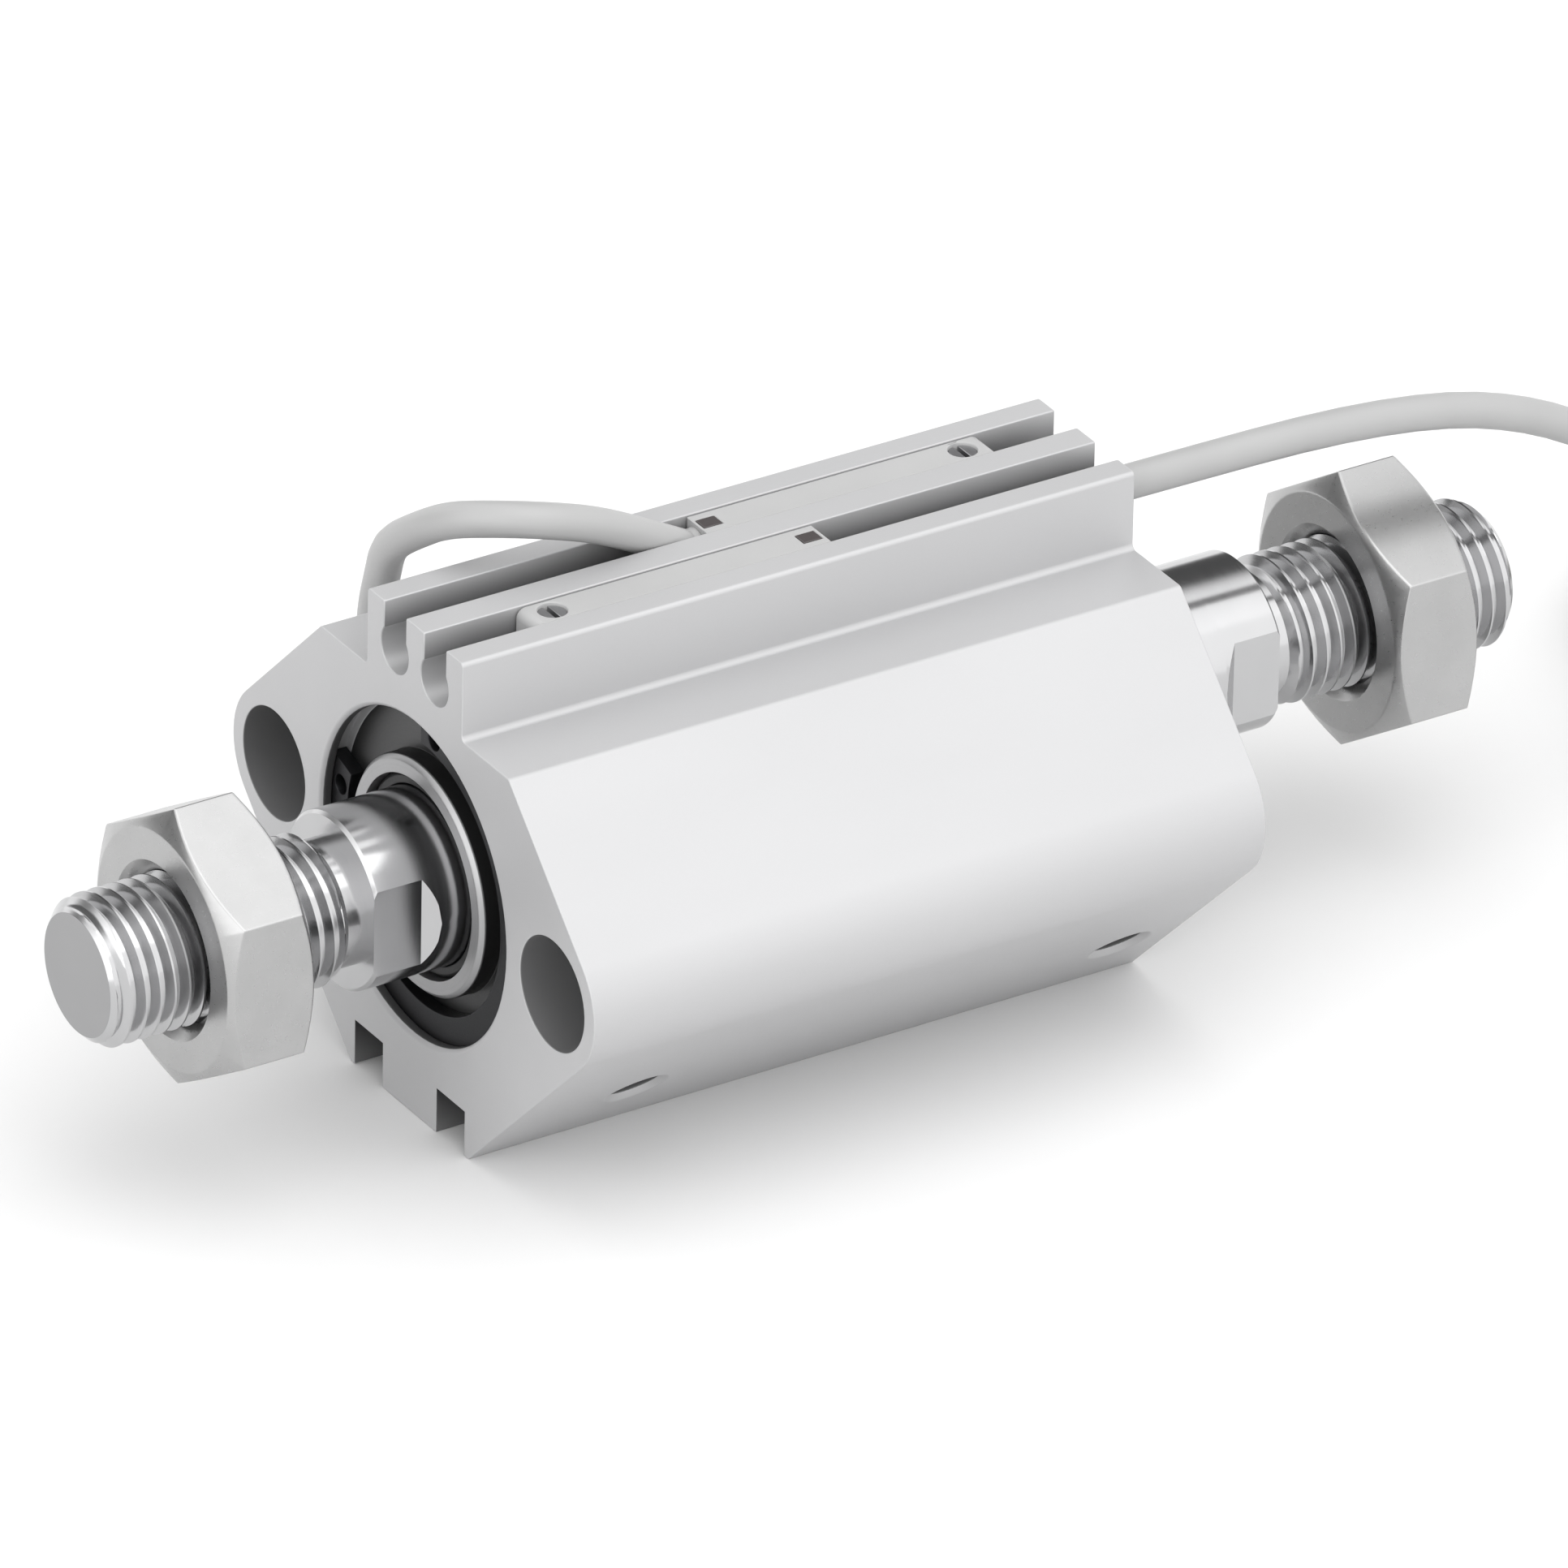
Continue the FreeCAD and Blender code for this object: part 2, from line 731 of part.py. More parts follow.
def lead_cores(centre, angle, heading):
    """The two bare-ended cores beyond the jacket, leaving the coil's lower outer turn."""
    a = math.radians(angle)
    out = V(math.cos(a), math.sin(a), 0)
    along = V(-math.sin(a), math.cos(a), 0) * heading
    start = centre + out * (coil_radius + lead_radius) + along * tail_length
    start.z = coil_base + lead_radius
    wires = []
    for side in (-1, 1):
        turn = math.radians(side * core_spread)
        way = along * math.cos(turn) + out * math.sin(turn)
        foot = start + out * (side * core_radius * 1.1)
        core = Part.makeCylinder(core_radius, core_length, foot, way)
        strand = Part.makeCylinder(strand_radius, core_length + strand_length, foot, way)
        wires.append(core.fuse(strand))
    return Part.makeCompound(wires)


def cover_group(end, seat, place):
    """Every piece that one cover carries, under its end's name."""
    return {
        f"{end}_rod_cover": place(rod_cover(seat)),
        f"{end}_cover_o_ring": place(cover_o_ring(seat)),
        f"{end}_retaining_ring": place(retaining_ring()),
        f"{end}_rod_bush": place(rod_bush()),
        f"{end}_rod_seal": place(rod_seal()),
        f"{end}_bumper": place(bumper()),
    }


def switch_group(side, x_from, y, lead_end):
    """A switch with its screw and lamp window."""
    return {
        f"{side}_switch_case": switch_case(x_from, y, lead_end),
        f"{side}_switch_screw": switch_screw(x_from, y, lead_end),
        f"{side}_switch_lens": lens_block(x_from, y, lead_end, 0),
    }


def lead_group(side, route, coil, tie_angle, tail_angle, heading):
    """A lead with its coil, tie and bare cores."""
    return {
        f"{side}_lead": lead_tube(f"{side}_lead", route),
        f"{side}_lead_coil": lead_coil(coil),
        f"{side}_lead_tie": lead_tie(coil, tie_angle),
        f"{side}_lead_cores": lead_cores(coil, tail_angle, heading),
    }


def all_pieces():
    pieces = {"cylinder_tube": cylinder_tube()}
    pieces.update(cover_group("front", front_seat, lambda shape: shape))
    pieces.update(cover_group("rear", rear_seat, mirrored))
    pieces["front_piston_half"] = front_piston_half()
    pieces["rear_piston_half"] = rear_piston_half()
    pieces["magnet_ring"] = magnet_ring()
    pieces["wear_ring"] = wear_ring()
    pieces["piston_seal"] = piston_seal()
    pieces["rod_gasket"] = rod_gasket()
    pieces["front_piston_rod"] = front_piston_rod()
    pieces["rear_piston_rod"] = rear_piston_rod()
    pieces["front_rod_nut"] = rod_nut(front_tip + front_nut_from_tip, front_nut_turn)
    pieces["rear_rod_nut"] = rod_nut(rear_tip - rear_nut_from_tip - nut_height, rear_nut_turn)
    pieces.update(switch_group("near", near_switch_front, -groove_y, 1))
    pieces.update(switch_group("far", far_switch_front, groove_y, -1))
    pieces["near_lead_grommet"] = lead_grommet(near_route[0], 1)
    pieces["far_lead_grommet"] = lead_grommet(far_route[0], -1)
    pieces.update(lead_group("near", near_route, near_coil, near_tie_angle, near_tail_angle, 1))
    pieces.update(lead_group("far", far_route, far_coil, far_tie_angle, far_tail_angle, -1))
    return pieces


os.makedirs("parts", exist_ok=True)
for node, shape in all_pieces().items():
    shape.exportStep(f"parts/{node}.step")
    print(node, "solids", len(shape.Solids), "valid", shape.isValid(), "volume", round(shape.Volume, 2))
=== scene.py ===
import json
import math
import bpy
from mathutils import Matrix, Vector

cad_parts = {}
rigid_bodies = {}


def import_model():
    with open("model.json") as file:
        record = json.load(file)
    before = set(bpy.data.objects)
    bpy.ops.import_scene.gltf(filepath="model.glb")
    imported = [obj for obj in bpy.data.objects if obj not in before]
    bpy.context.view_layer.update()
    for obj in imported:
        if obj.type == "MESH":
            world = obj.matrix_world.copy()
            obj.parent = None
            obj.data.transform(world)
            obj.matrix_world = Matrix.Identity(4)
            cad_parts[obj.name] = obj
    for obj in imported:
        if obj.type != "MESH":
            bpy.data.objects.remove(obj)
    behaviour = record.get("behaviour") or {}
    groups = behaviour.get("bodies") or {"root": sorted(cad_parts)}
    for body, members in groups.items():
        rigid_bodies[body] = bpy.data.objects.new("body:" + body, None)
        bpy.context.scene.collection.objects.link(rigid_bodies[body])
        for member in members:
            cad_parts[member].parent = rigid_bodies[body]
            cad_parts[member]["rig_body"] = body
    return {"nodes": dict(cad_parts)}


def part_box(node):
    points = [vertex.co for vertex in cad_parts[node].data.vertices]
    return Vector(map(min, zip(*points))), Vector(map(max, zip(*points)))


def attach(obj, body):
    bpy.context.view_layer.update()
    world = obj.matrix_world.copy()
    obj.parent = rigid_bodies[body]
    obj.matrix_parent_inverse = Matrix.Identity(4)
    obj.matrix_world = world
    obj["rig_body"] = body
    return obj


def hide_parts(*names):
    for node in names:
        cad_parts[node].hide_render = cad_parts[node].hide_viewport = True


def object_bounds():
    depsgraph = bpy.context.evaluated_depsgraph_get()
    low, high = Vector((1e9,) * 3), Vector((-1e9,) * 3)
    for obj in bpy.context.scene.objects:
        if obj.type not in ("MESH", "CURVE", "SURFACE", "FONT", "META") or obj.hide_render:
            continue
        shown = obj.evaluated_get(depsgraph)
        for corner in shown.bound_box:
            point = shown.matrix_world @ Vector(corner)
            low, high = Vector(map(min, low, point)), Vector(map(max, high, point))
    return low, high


bl_info = {
    "name": "Double Rod Compact Cylinder",
    "version": (1, 0, 0),
    "blender": (4, 5, 0),
    "location": "3D View > Sidebar > Cylinder",
    "description": "Dresses the frame of a compact air cylinder with a rod at both ends",
    "category": "Object",
}

import bmesh
import bpy
from mathutils import Matrix, Vector

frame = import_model()
CAD_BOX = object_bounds()
MM = 0.001
ENDS = ("front", "rear")
SIDES = ("near", "far")

# Painted shade in the tube's recesses: its common level, and the width in millimetres of its step to the open
# surface
RECESS_PAINTED_SHADE = 0.2
PAINTED_SHADE_STEP = 0.02
# Painted shade in the counterbores, switch grooves and bore, which run along the tube: how far aside and
# high, radius and shade
ROUND_RECESS_PAINTED_SHADES = ((20.0, 0.0, 4.55, 0.4), (2.85, 18.1, 2.0, 0.8), (0.0, 0.0, 13.25, RECESS_PAINTED_SHADE))
# Painted shade in the air ports: where they stand along the tube, and their radius
PORTS_AT = (11.1, 53.9)
PORT_RADIUS = 2.15
# Painted shade in the groove mouths and foot notches: how far aside, half their width, their foot and head,
# and the shades there
SLOT_PAINTED_SHADES = ((2.85, 1.57, 19.2, 21.45, 0.42, 1.0), (5.9, 2.03, -20.1, -16.15, 0.4, 0.1))
# The rod covers keep their colour on the boss to a radius, with a step to painted shade on their sunk flanges
FLANGE_SHADE_FROM = 9.4
FLANGE_SHADE_STEP = 0.05
# The rods' faced tips: their darker colour, partly unplated steel and partly painted shade, and the depths
# where it begins to fade and ends
TIP_PAINTED_SHADE = 0.66
TIP_SKIN = (0.01, 0.03)

# Meshes: points this near are merged, faces this even are joined, and edges sharper than this are rounded
MERGE_WITHIN = 0.0005 * MM
FLAT_WITHIN = math.radians(0.4)
EDGE_FROM = math.radians(35)
EDGE_SEGMENTS = 2
FLAT_WEIGHT = 100


def srgb(code):
    """A six digit hex colour as linear red, green, blue and alpha."""
    channels = [int(code[i:i + 2], 16) / 255 for i in (0, 2, 4)]
    linear = [c / 12.92 if c <= 0.04045 else ((c + 0.055) / 1.055) ** 2.4 for c in channels]
    return (*linear, 1.0)


def length_property(name, description, millimetres):
    """A length that a user may change, kept in metres."""
    return bpy.props.FloatProperty(
        name=name, description=description, default=millimetres * MM, min=0.0, precision=5, unit="LENGTH")


def colour_property(name, description, code):
    """A colour that a user may change."""
    return bpy.props.FloatVectorProperty(
        name=name, description=description, default=srgb(code), size=4, min=0.0, max=1.0, subtype="COLOR")


class CylinderSizes(bpy.types.PropertyGroup):
    """Sizes of what is cut or rounded on the frame's pieces."""
    edge: length_property("Tube edge", "Round on the cut edges of the tube", 0.12)
    small_edge: length_property("Small edge", "Round on the edges of covers, rings and switches", 0.06)
    nut_edge: length_property("Nut edge", "Round on the edges of the rod nuts", 0.1)
    thread_pitch: length_property("Thread pitch", "Pitch of the rod threads", 1.25)
    thread_depth: length_property("Thread depth", "Depth of the rod threads, crest to root", 0.767)
    thread_radius: length_property("Thread radius", "Outside radius of the rod threads", 5.9)
    rod_radius: length_property("Rod radius", "Radius of the ground rods", 7.0)
    nut_across: length_property("Nut width", "Width of the rod nuts across their flats", 20.0)
    lead_radius: length_property("Lead radius", "Radius of the switch leads", 1.4)


class CylinderColours(bpy.types.PropertyGroup):
    """Colours of the finishes that show."""
    tube: colour_property("Tube", "Clear anodised tube", "B5B5B6")
    cover: colour_property("Covers", "Turned rod covers", "A6A6A7")
    rod: colour_property("Rods", "Hard chrome on the rods", "BCBCBD")
    nut: colour_property("Nuts", "Zinc plate on the nuts", "B0B0B0")
    ring: colour_property("Rings", "Phosphated retaining rings", "323234")
    switch: colour_property("Switches", "Switch housings", "A6A6A6")
    lead: colour_property("Leads", "Lead jackets", "9E9E9E")


def add(tree, kind, inputs=None, **settings):
    """A new node with its settings, and its inputs linked to sockets or set to values."""
    node = tree.nodes.new(kind)
    for key, value in settings.items():
        setattr(node, key, value)
    for key, value in (inputs or {}).items():
        if isinstance(value, bpy.types.NodeSocket):
            tree.links.new(value, node.inputs[key])
        else:
            node.inputs[key].default_value = value
    return node


def start_material(name):
    """A new material, its tree, its shader and its object coordinates."""
    material = bpy.data.materials.new(name)
    material.use_nodes = True
    tree = material.node_tree
    place = add(tree, "ShaderNodeTexCoord").outputs["Object"]
    return material, tree, tree.nodes["Principled BSDF"], place


def shaded(tree, shader, colour, level):
    """The shader's colour, times a level; inputs 6 and 7 and output 2 of a Mix node are its colours."""
    mixed = add(tree, "ShaderNodeMix", {0: 1.0, 6: colour, 7: level}, data_type="RGBA", blend_type="MULTIPLY")
    tree.links.new(mixed.outputs[2], shader.inputs["Base Color"])


def tint(tree, shader, factor, colour, low, high):
    """The colour times a value between low and high, driven by a texture's factor."""
    level = add(tree, "ShaderNodeMapRange", {"Value": factor, "To Min": low, "To Max": high})
    shaded(tree, shader, colour, level.outputs[0])


def rough(tree, shader, factor, low, high):
    """A roughness between low and high, driven by a texture's factor."""
    level = add(tree, "ShaderNodeMapRange", {"Value": factor, "To Min": low, "To Max": high})
    tree.links.new(level.outputs[0], shader.inputs["Roughness"])


def relief(tree, shader, height, depth, below=None):
    """A bump of the given depth in millimetres, on top of another one where there is one."""
    inputs = {"Height": height, "Distance": depth * MM, "Strength": 1.0}
    if below:
        inputs["Normal"] = below.outputs[0]
    bump = add(tree, "ShaderNodeBump", inputs)
    tree.links.new(bump.outputs[0], shader.inputs["Normal"])
    return bump


def grain(tree, place, size, detail=2.0, stretch=(1, 1, 1)):
    """Noise with features of a size in millimetres, drawn out by a factor along each axis."""
    scale = [1 / (size * MM * s) for s in stretch]
    mapped = add(tree, "ShaderNodeMapping", {"Vector": place, "Scale": scale})
    noise = add(tree, "ShaderNodeTexNoise", {"Vector": mapped.outputs[0], "Scale": 1.0, "Detail": detail})
    return noise.outputs[0]


def from_axis(tree, place):
    """The distance from the rod axis, as a vector with only that length."""
    parts = add(tree, "ShaderNodeSeparateXYZ", {0: place})
    flat = add(tree, "ShaderNodeCombineXYZ", {1: parts.outputs[1], 2: parts.outputs[2]})
    reach = add(tree, "ShaderNodeVectorMath", {0: flat.outputs[0]}, operation="LENGTH")
    return add(tree, "ShaderNodeCombineXYZ", {0: reach.outputs["Value"]}).outputs[0]


def painted_recess_shade(tree, place):
    """Painted shade for the tube's colour: one outside, and less in its bore, holes, grooves and ports."""
    x, y, z = add(tree, "ShaderNodeSeparateXYZ", {0: place}).outputs
    side = add(tree, "ShaderNodeMath", {0: y}, operation="ABSOLUTE").outputs[0]
    section = add(tree, "ShaderNodeCombineXYZ", {1: side, 2: z}).outputs[0]
    slant = add(tree, "ShaderNodeMath", {0: y, 1: z}, operation="SUBTRACT").outputs[0]
    beside = add(tree, "ShaderNodeMath", {0: slant, 1: math.sqrt(0.5)}, operation="MULTIPLY").outputs[0]
    upward = add(tree, "ShaderNodeMath", {0: y, 1: z}, operation="ADD").outputs[0]
    behind = add(tree, "ShaderNodeMath", {0: upward, 1: 0.0}, operation="MAXIMUM").outputs[0]
    from_port = add(tree, "ShaderNodeCombineXYZ", {0: x, 1: beside, 2: behind}).outputs[0]
    rounds = []
    for aside, high, radius, shade in ROUND_RECESS_PAINTED_SHADES:
        rounds.append((section, (0, aside * MM, high * MM), radius, shade))
    rounds += [(from_port, (at * MM, 0, 0), PORT_RADIUS, RECESS_PAINTED_SHADE) for at in PORTS_AT]
    shades = []
    for spot, middle, radius, shade in rounds:
        reach = add(tree, "ShaderNodeVectorMath", {0: spot, 1: middle}, operation="DISTANCE").outputs["Value"]
        shades.append(add(tree, "ShaderNodeMapRange", {
            "Value": reach, "From Min": (radius - PAINTED_SHADE_STEP) * MM, "From Max": radius * MM,
            "To Min": shade, "To Max": 1.0}).outputs[0])
    for aside, half, low, high, low_shade, high_shade in SLOT_PAINTED_SHADES:
        middle, reach = (low + high) / 2, (high - low) / 2
        across = add(tree, "ShaderNodeMath", {0: side, 1: aside * MM, 2: half * MM}, operation="COMPARE")
        upright = add(tree, "ShaderNodeMath", {0: z, 1: middle * MM, 2: reach * MM}, operation="COMPARE")
        inside = add(tree, "ShaderNodeMath", {0: across.outputs[0], 1: upright.outputs[0]},
                     operation="MULTIPLY").outputs[0]
        shade = add(tree, "ShaderNodeMapRange", {
            "Value": z, "From Min": low * MM, "From Max": high * MM,
            "To Min": low_shade, "To Max": high_shade}).outputs[0]
        shades.append(add(tree, "ShaderNodeMix", {0: inside, 2: 1.0, 3: shade}).outputs[0])
    level = shades[0]
    for shade in shades[1:]:
        level = add(tree, "ShaderNodeMath", {0: level, 1: shade}, operation="MINIMUM").outputs[0]
    return level


def anodised_extrusion(colour):
    """Clear anodised aluminium, extruded and etched: an even satin with faint lines drawn along it.

    Its recesses (bore, counterbores, ports, notches and grooves) get painted shade in their colour.
    """
    material, tree, shader, place = start_material("anodised aluminium, extruded")
    lines = grain(tree, place, size=0.3, detail=3.0, stretch=(200, 1, 1))
    etch = grain(tree, place, size=0.14)
    cloud = grain(tree, place, size=9.0, stretch=(3, 1, 1))
    level = add(tree, "ShaderNodeMapRange", {"Value": cloud, "To Min": 0.96, "To Max": 1.03}).outputs[0]
    # The colour is darkened by painted shade in the recesses
    level = add(tree, "ShaderNodeMath", {0: level, 1: painted_recess_shade(tree, place)}, operation="MULTIPLY").outputs[0]
    shaded(tree, shader, colour, level)
    rough(tree, shader, etch, low=0.44, high=0.56)
    shader.inputs["Metallic"].default_value = 0.4
    first = relief(tree, shader, lines, depth=0.0022)
    relief(tree, shader, etch, depth=0.0016, below=first)
    return material


def turned_metal(name, colour, roughness, painted_shade_from=None):
    """Metal faced on a lathe: fine rings about the axis that spread the light sideways.

    A cover keeps its colour to a radius in millimetres, and its sunk flange beyond that gets painted shade.
    """
    material, tree, shader, place = start_material(name)
    out = from_axis(tree, place)
    rings = grain(tree, out, size=0.16)
    etch = grain(tree, place, size=0.2)
    level = add(tree, "ShaderNodeMapRange", {"Value": rings, "To Min": 0.9, "To Max": 1.05}).outputs[0]
    # Painted shade on a cover's sunk flange, beyond its boss
    if painted_shade_from:
        reach = add(tree, "ShaderNodeVectorMath", {0: out}, operation="LENGTH").outputs["Value"]
        flange_painted_shade = add(tree, "ShaderNodeMapRange", {
            "Value": reach, "From Min": painted_shade_from * MM, "From Max": (painted_shade_from + FLANGE_SHADE_STEP) * MM,
            "To Min": 1.0, "To Max": RECESS_PAINTED_SHADE}).outputs[0]
        level = add(tree, "ShaderNodeMath", {0: level, 1: flange_painted_shade}, operation="MULTIPLY").outputs[0]
    shaded(tree, shader, colour, level)
    rough(tree, shader, etch, low=roughness, high=roughness + 0.12)
    shader.inputs["Metallic"].default_value = 0.95
    relief(tree, shader, rings, depth=0.004)
    return material


def hard_chrome(colour):
    """Steel ground and hard chrome plated: mirror bright, with fine grinding marks round the rod.

    The faced tips get a darker colour, partly for unplated steel and partly as painted shade.
    """
    material, tree, shader, place = start_material("hard chrome, ground")
    marks = grain(tree, place, size=0.09, stretch=(1, 60, 60))
    cloud = grain(tree, place, size=4.0)
    level = add(tree, "ShaderNodeMapRange", {"Value": cloud, "To Min": 0.95, "To Max": 1.03}).outputs[0]
    x = add(tree, "ShaderNodeSeparateXYZ", {0: place}).outputs[0]
    front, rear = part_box("front_piston_rod")[0].x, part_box("rear_piston_rod")[1].x
    middle, reach = (front + rear) / 2, (rear - front) / 2
    off = add(tree, "ShaderNodeMath", {0: x, 1: middle}, operation="SUBTRACT").outputs[0]
    off = add(tree, "ShaderNodeMath", {0: off}, operation="ABSOLUTE").outputs[0]
    # A darker colour on the faced tips: partly unplated steel, partly painted shade
    tip = add(tree, "ShaderNodeMapRange", {
        "Value": off, "From Min": reach - TIP_SKIN[1] * MM, "From Max": reach - TIP_SKIN[0] * MM,
        "To Min": 1.0, "To Max": TIP_PAINTED_SHADE}).outputs[0]
    level = add(tree, "ShaderNodeMath", {0: level, 1: tip}, operation="MULTIPLY").outputs[0]
    shaded(tree, shader, colour, level)
    rough(tree, shader, marks, low=0.13, high=0.22)
    shader.inputs["Metallic"].default_value = 1.0
    relief(tree, shader, marks, depth=0.0006)
    return material


def plated_metal(name, colour):
    """Metal with a bright zinc or tin coat: satin, with a fine uneven grain."""
    material, tree, shader, place = start_material(name)
    fine = grain(tree, place, size=0.3, detail=3.0)
    cloud = grain(tree, place, size=3.0, detail=3.0)
    tint(tree, shader, cloud, colour, low=0.92, high=1.05)
    rough(tree, shader, fine, low=0.24, high=0.34)
    shader.inputs["Metallic"].default_value = 0.95
    relief(tree, shader, fine, depth=0.0008)
    return material


def phosphated_steel(colour):
    """Spring steel stamped and phosphated: dark grey with a dry crystalline grain."""
    material, tree, shader, place = start_material("spring steel, phosphated")
    crystal = grain(tree, place, size=0.12, detail=3.0)
    tint(tree, shader, crystal, colour, low=0.75, high=1.15)
    rough(tree, shader, crystal, low=0.34, high=0.55)
    shader.inputs["Metallic"].default_value = 0.9
    relief(tree, shader, crystal, depth=0.004)
    return material


def moulded(name, colour, roughness, size, depth):
    """A moulded or extruded polymer: a dielectric with the fine grain that its tool leaves."""
    material, tree, shader, place = start_material(name)
    fine = grain(tree, place, size)
    cloud = grain(tree, place, size=5.0)
    tint(tree, shader, cloud, colour, low=0.93, high=1.03)
    rough(tree, shader, fine, low=roughness - 0.05, high=roughness + 0.08)
    shader.inputs["IOR"].default_value = 1.5
    relief(tree, shader, fine, depth)
    return material


def sintered(name, colour, metallic, roughness):
    """A pressed and sintered or bonded powder: open pores as fine dark specks."""
    material, tree, shader, place = start_material(name)
    pores = grain(tree, place, size=0.2, detail=4.0)
    tint(tree, shader, pores, colour, low=0.6, high=1.15)
    rough(tree, shader, pores, low=roughness, high=roughness + 0.2)
    shader.inputs["Metallic"].default_value = metallic
    relief(tree, shader, pores, depth=0.006)
    return material


def sharp_shading(mesh, degrees):
    """Smooth faces with sharp edges where they meet at more than an angle."""
    mesh.polygons.foreach_set("use_smooth", [True] * len(mesh.polygons))
    mesh.set_sharp_from_angle(angle=math.radians(degrees))


def new_object(name, mesh, material=None):
    """An object at the origin for a mesh that is already in place."""
    obj = bpy.data.objects.new(name, mesh)
    bpy.context.scene.collection.objects.link(obj)
    if material:
        mesh.materials.clear()
        mesh.materials.append(material)
    return obj


def evaluated_mesh(obj):
    """The object's mesh with its modifiers applied, as a plain mesh."""
    depsgraph = bpy.context.evaluated_depsgraph_get()
    return bpy.data.meshes.new_from_object(obj.evaluated_get(depsgraph), depsgraph=depsgraph)


def settle(obj):
    """Puts the result of the object's modifiers in its mesh."""
    mesh = evaluated_mesh(obj)
    obj.modifiers.clear()
    old = obj.data
    obj.data = mesh
    mesh.name = obj.name
    bpy.data.meshes.remove(old)


def softened(node, width, material):
    """A copy of a frame node with its cut edges rounded, standing for that node."""
    source = frame["nodes"][node]
    mesh = source.data.copy()
    shape = bmesh.new()
    shape.from_mesh(mesh)
    bmesh.ops.remove_doubles(shape, verts=shape.verts, dist=MERGE_WITHIN)
    bmesh.ops.dissolve_limit(
        shape, angle_limit=FLAT_WITHIN, verts=shape.verts, edges=shape.edges, delimit={"NORMAL"})
    shape.to_mesh(mesh)
    shape.free()
    mesh.polygons.foreach_set("use_smooth", [True] * len(mesh.polygons))
    obj = new_object(f"{node}_finished", mesh, material)
    bevel = obj.modifiers.new("edges", "BEVEL")
    bevel.width = width
    bevel.segments = EDGE_SEGMENTS
    bevel.limit_method = "ANGLE"
    bevel.angle_limit = EDGE_FROM
    bevel.use_clamp_overlap = False
    obj.modifiers.new("flat faces", "WEIGHTED_NORMAL").weight = FLAT_WEIGHT
    settle(obj)
    return finish_piece(obj, source["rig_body"], node)


def finish_piece(obj, body, *nodes):
    """Rides the piece on its body, in place of the nodes it stands for."""
    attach(obj, body)
    if nodes:
        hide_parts(*nodes)
    return obj


def paint(node, material):
    """Gives a frame node that stays as it is its finish."""
    mesh = frame["nodes"][node].data
    mesh.materials.clear()
    mesh.materials.append(material)


def group_tree(name, inputs):
    """An empty geometry tree with named inputs; returns it with the sockets of its input node."""
    tree = bpy.data.node_groups.new(name, "GeometryNodeTree")
    tree.interface.new_socket("Geometry", in_out="INPUT", socket_type="NodeSocketGeometry")
    for label, kind in inputs.items():
        tree.interface.new_socket(label, in_out="INPUT", socket_type=kind)
    tree.interface.new_socket("Geometry", in_out="OUTPUT", socket_type="NodeSocketGeometry")
    return tree, tree.nodes.new("NodeGroupInput").outputs


def close_tree(tree, geometry, material):
    """Ends a tree: instances made real, the material set, and the result put out."""
    real = add(tree, "GeometryNodeRealizeInstances", {0: geometry})
    dressed = add(tree, "GeometryNodeSetMaterial", {"Geometry": real.outputs[0], "Material": material})
    add(tree, "NodeGroupOutput", {0: dressed.outputs[0]})


def grow(obj, tree, values):
    """Runs a tree on an object, its inputs set by name, and keeps the plain mesh that comes out."""
    modifier = obj.modifiers.new(tree.name, "NODES")
    modifier.node_group = tree
    for item in tree.interface.items_tree:
        if item.in_out == "INPUT" and item.name in values:
            modifier[item.identifier] = values[item.name]
    settle(obj)


# The rods' meshes: steps round them, over half a flat, across a pitch and along a flat's runout,
# the angle in degrees above which an edge stays sharp, and how near points are welded
ROD_SEGMENTS = 116
FLAT_STEPS = 10
ROWS_PER_PITCH = 16
RUNOUT_ROWS = 6
ROD_SHARP = 28
WELD_WITHIN = 0.001 * MM
# The thread's form, as shares of its pitch from the middle of a root, and the turns that run out at its ends
CREST_FROM = 7 / 16
ROOT_TO = 1 / 8
SPARE_TURNS = 1.5
# Sizes of the rods that the frame's boxes do not give, in millimetres
THREAD_LENGTH = 22.0
THREAD_CHAMFER = 1.1
UNDERCUT_WIDTH = 1.6
UNDERCUT_DEPTH = 0.9
FLAT_HALF = 6.0
FLAT_LENGTH = 4.1
FLAT_RUNOUT = 1.2
SHOULDER_CHAMFER = 0.25
SPIGOT_RADIUS = 4.0
STUD_RADIUS = 3.0
STUD_HOLE = 3.05
STUD_HOLE_SPARE = 1.0


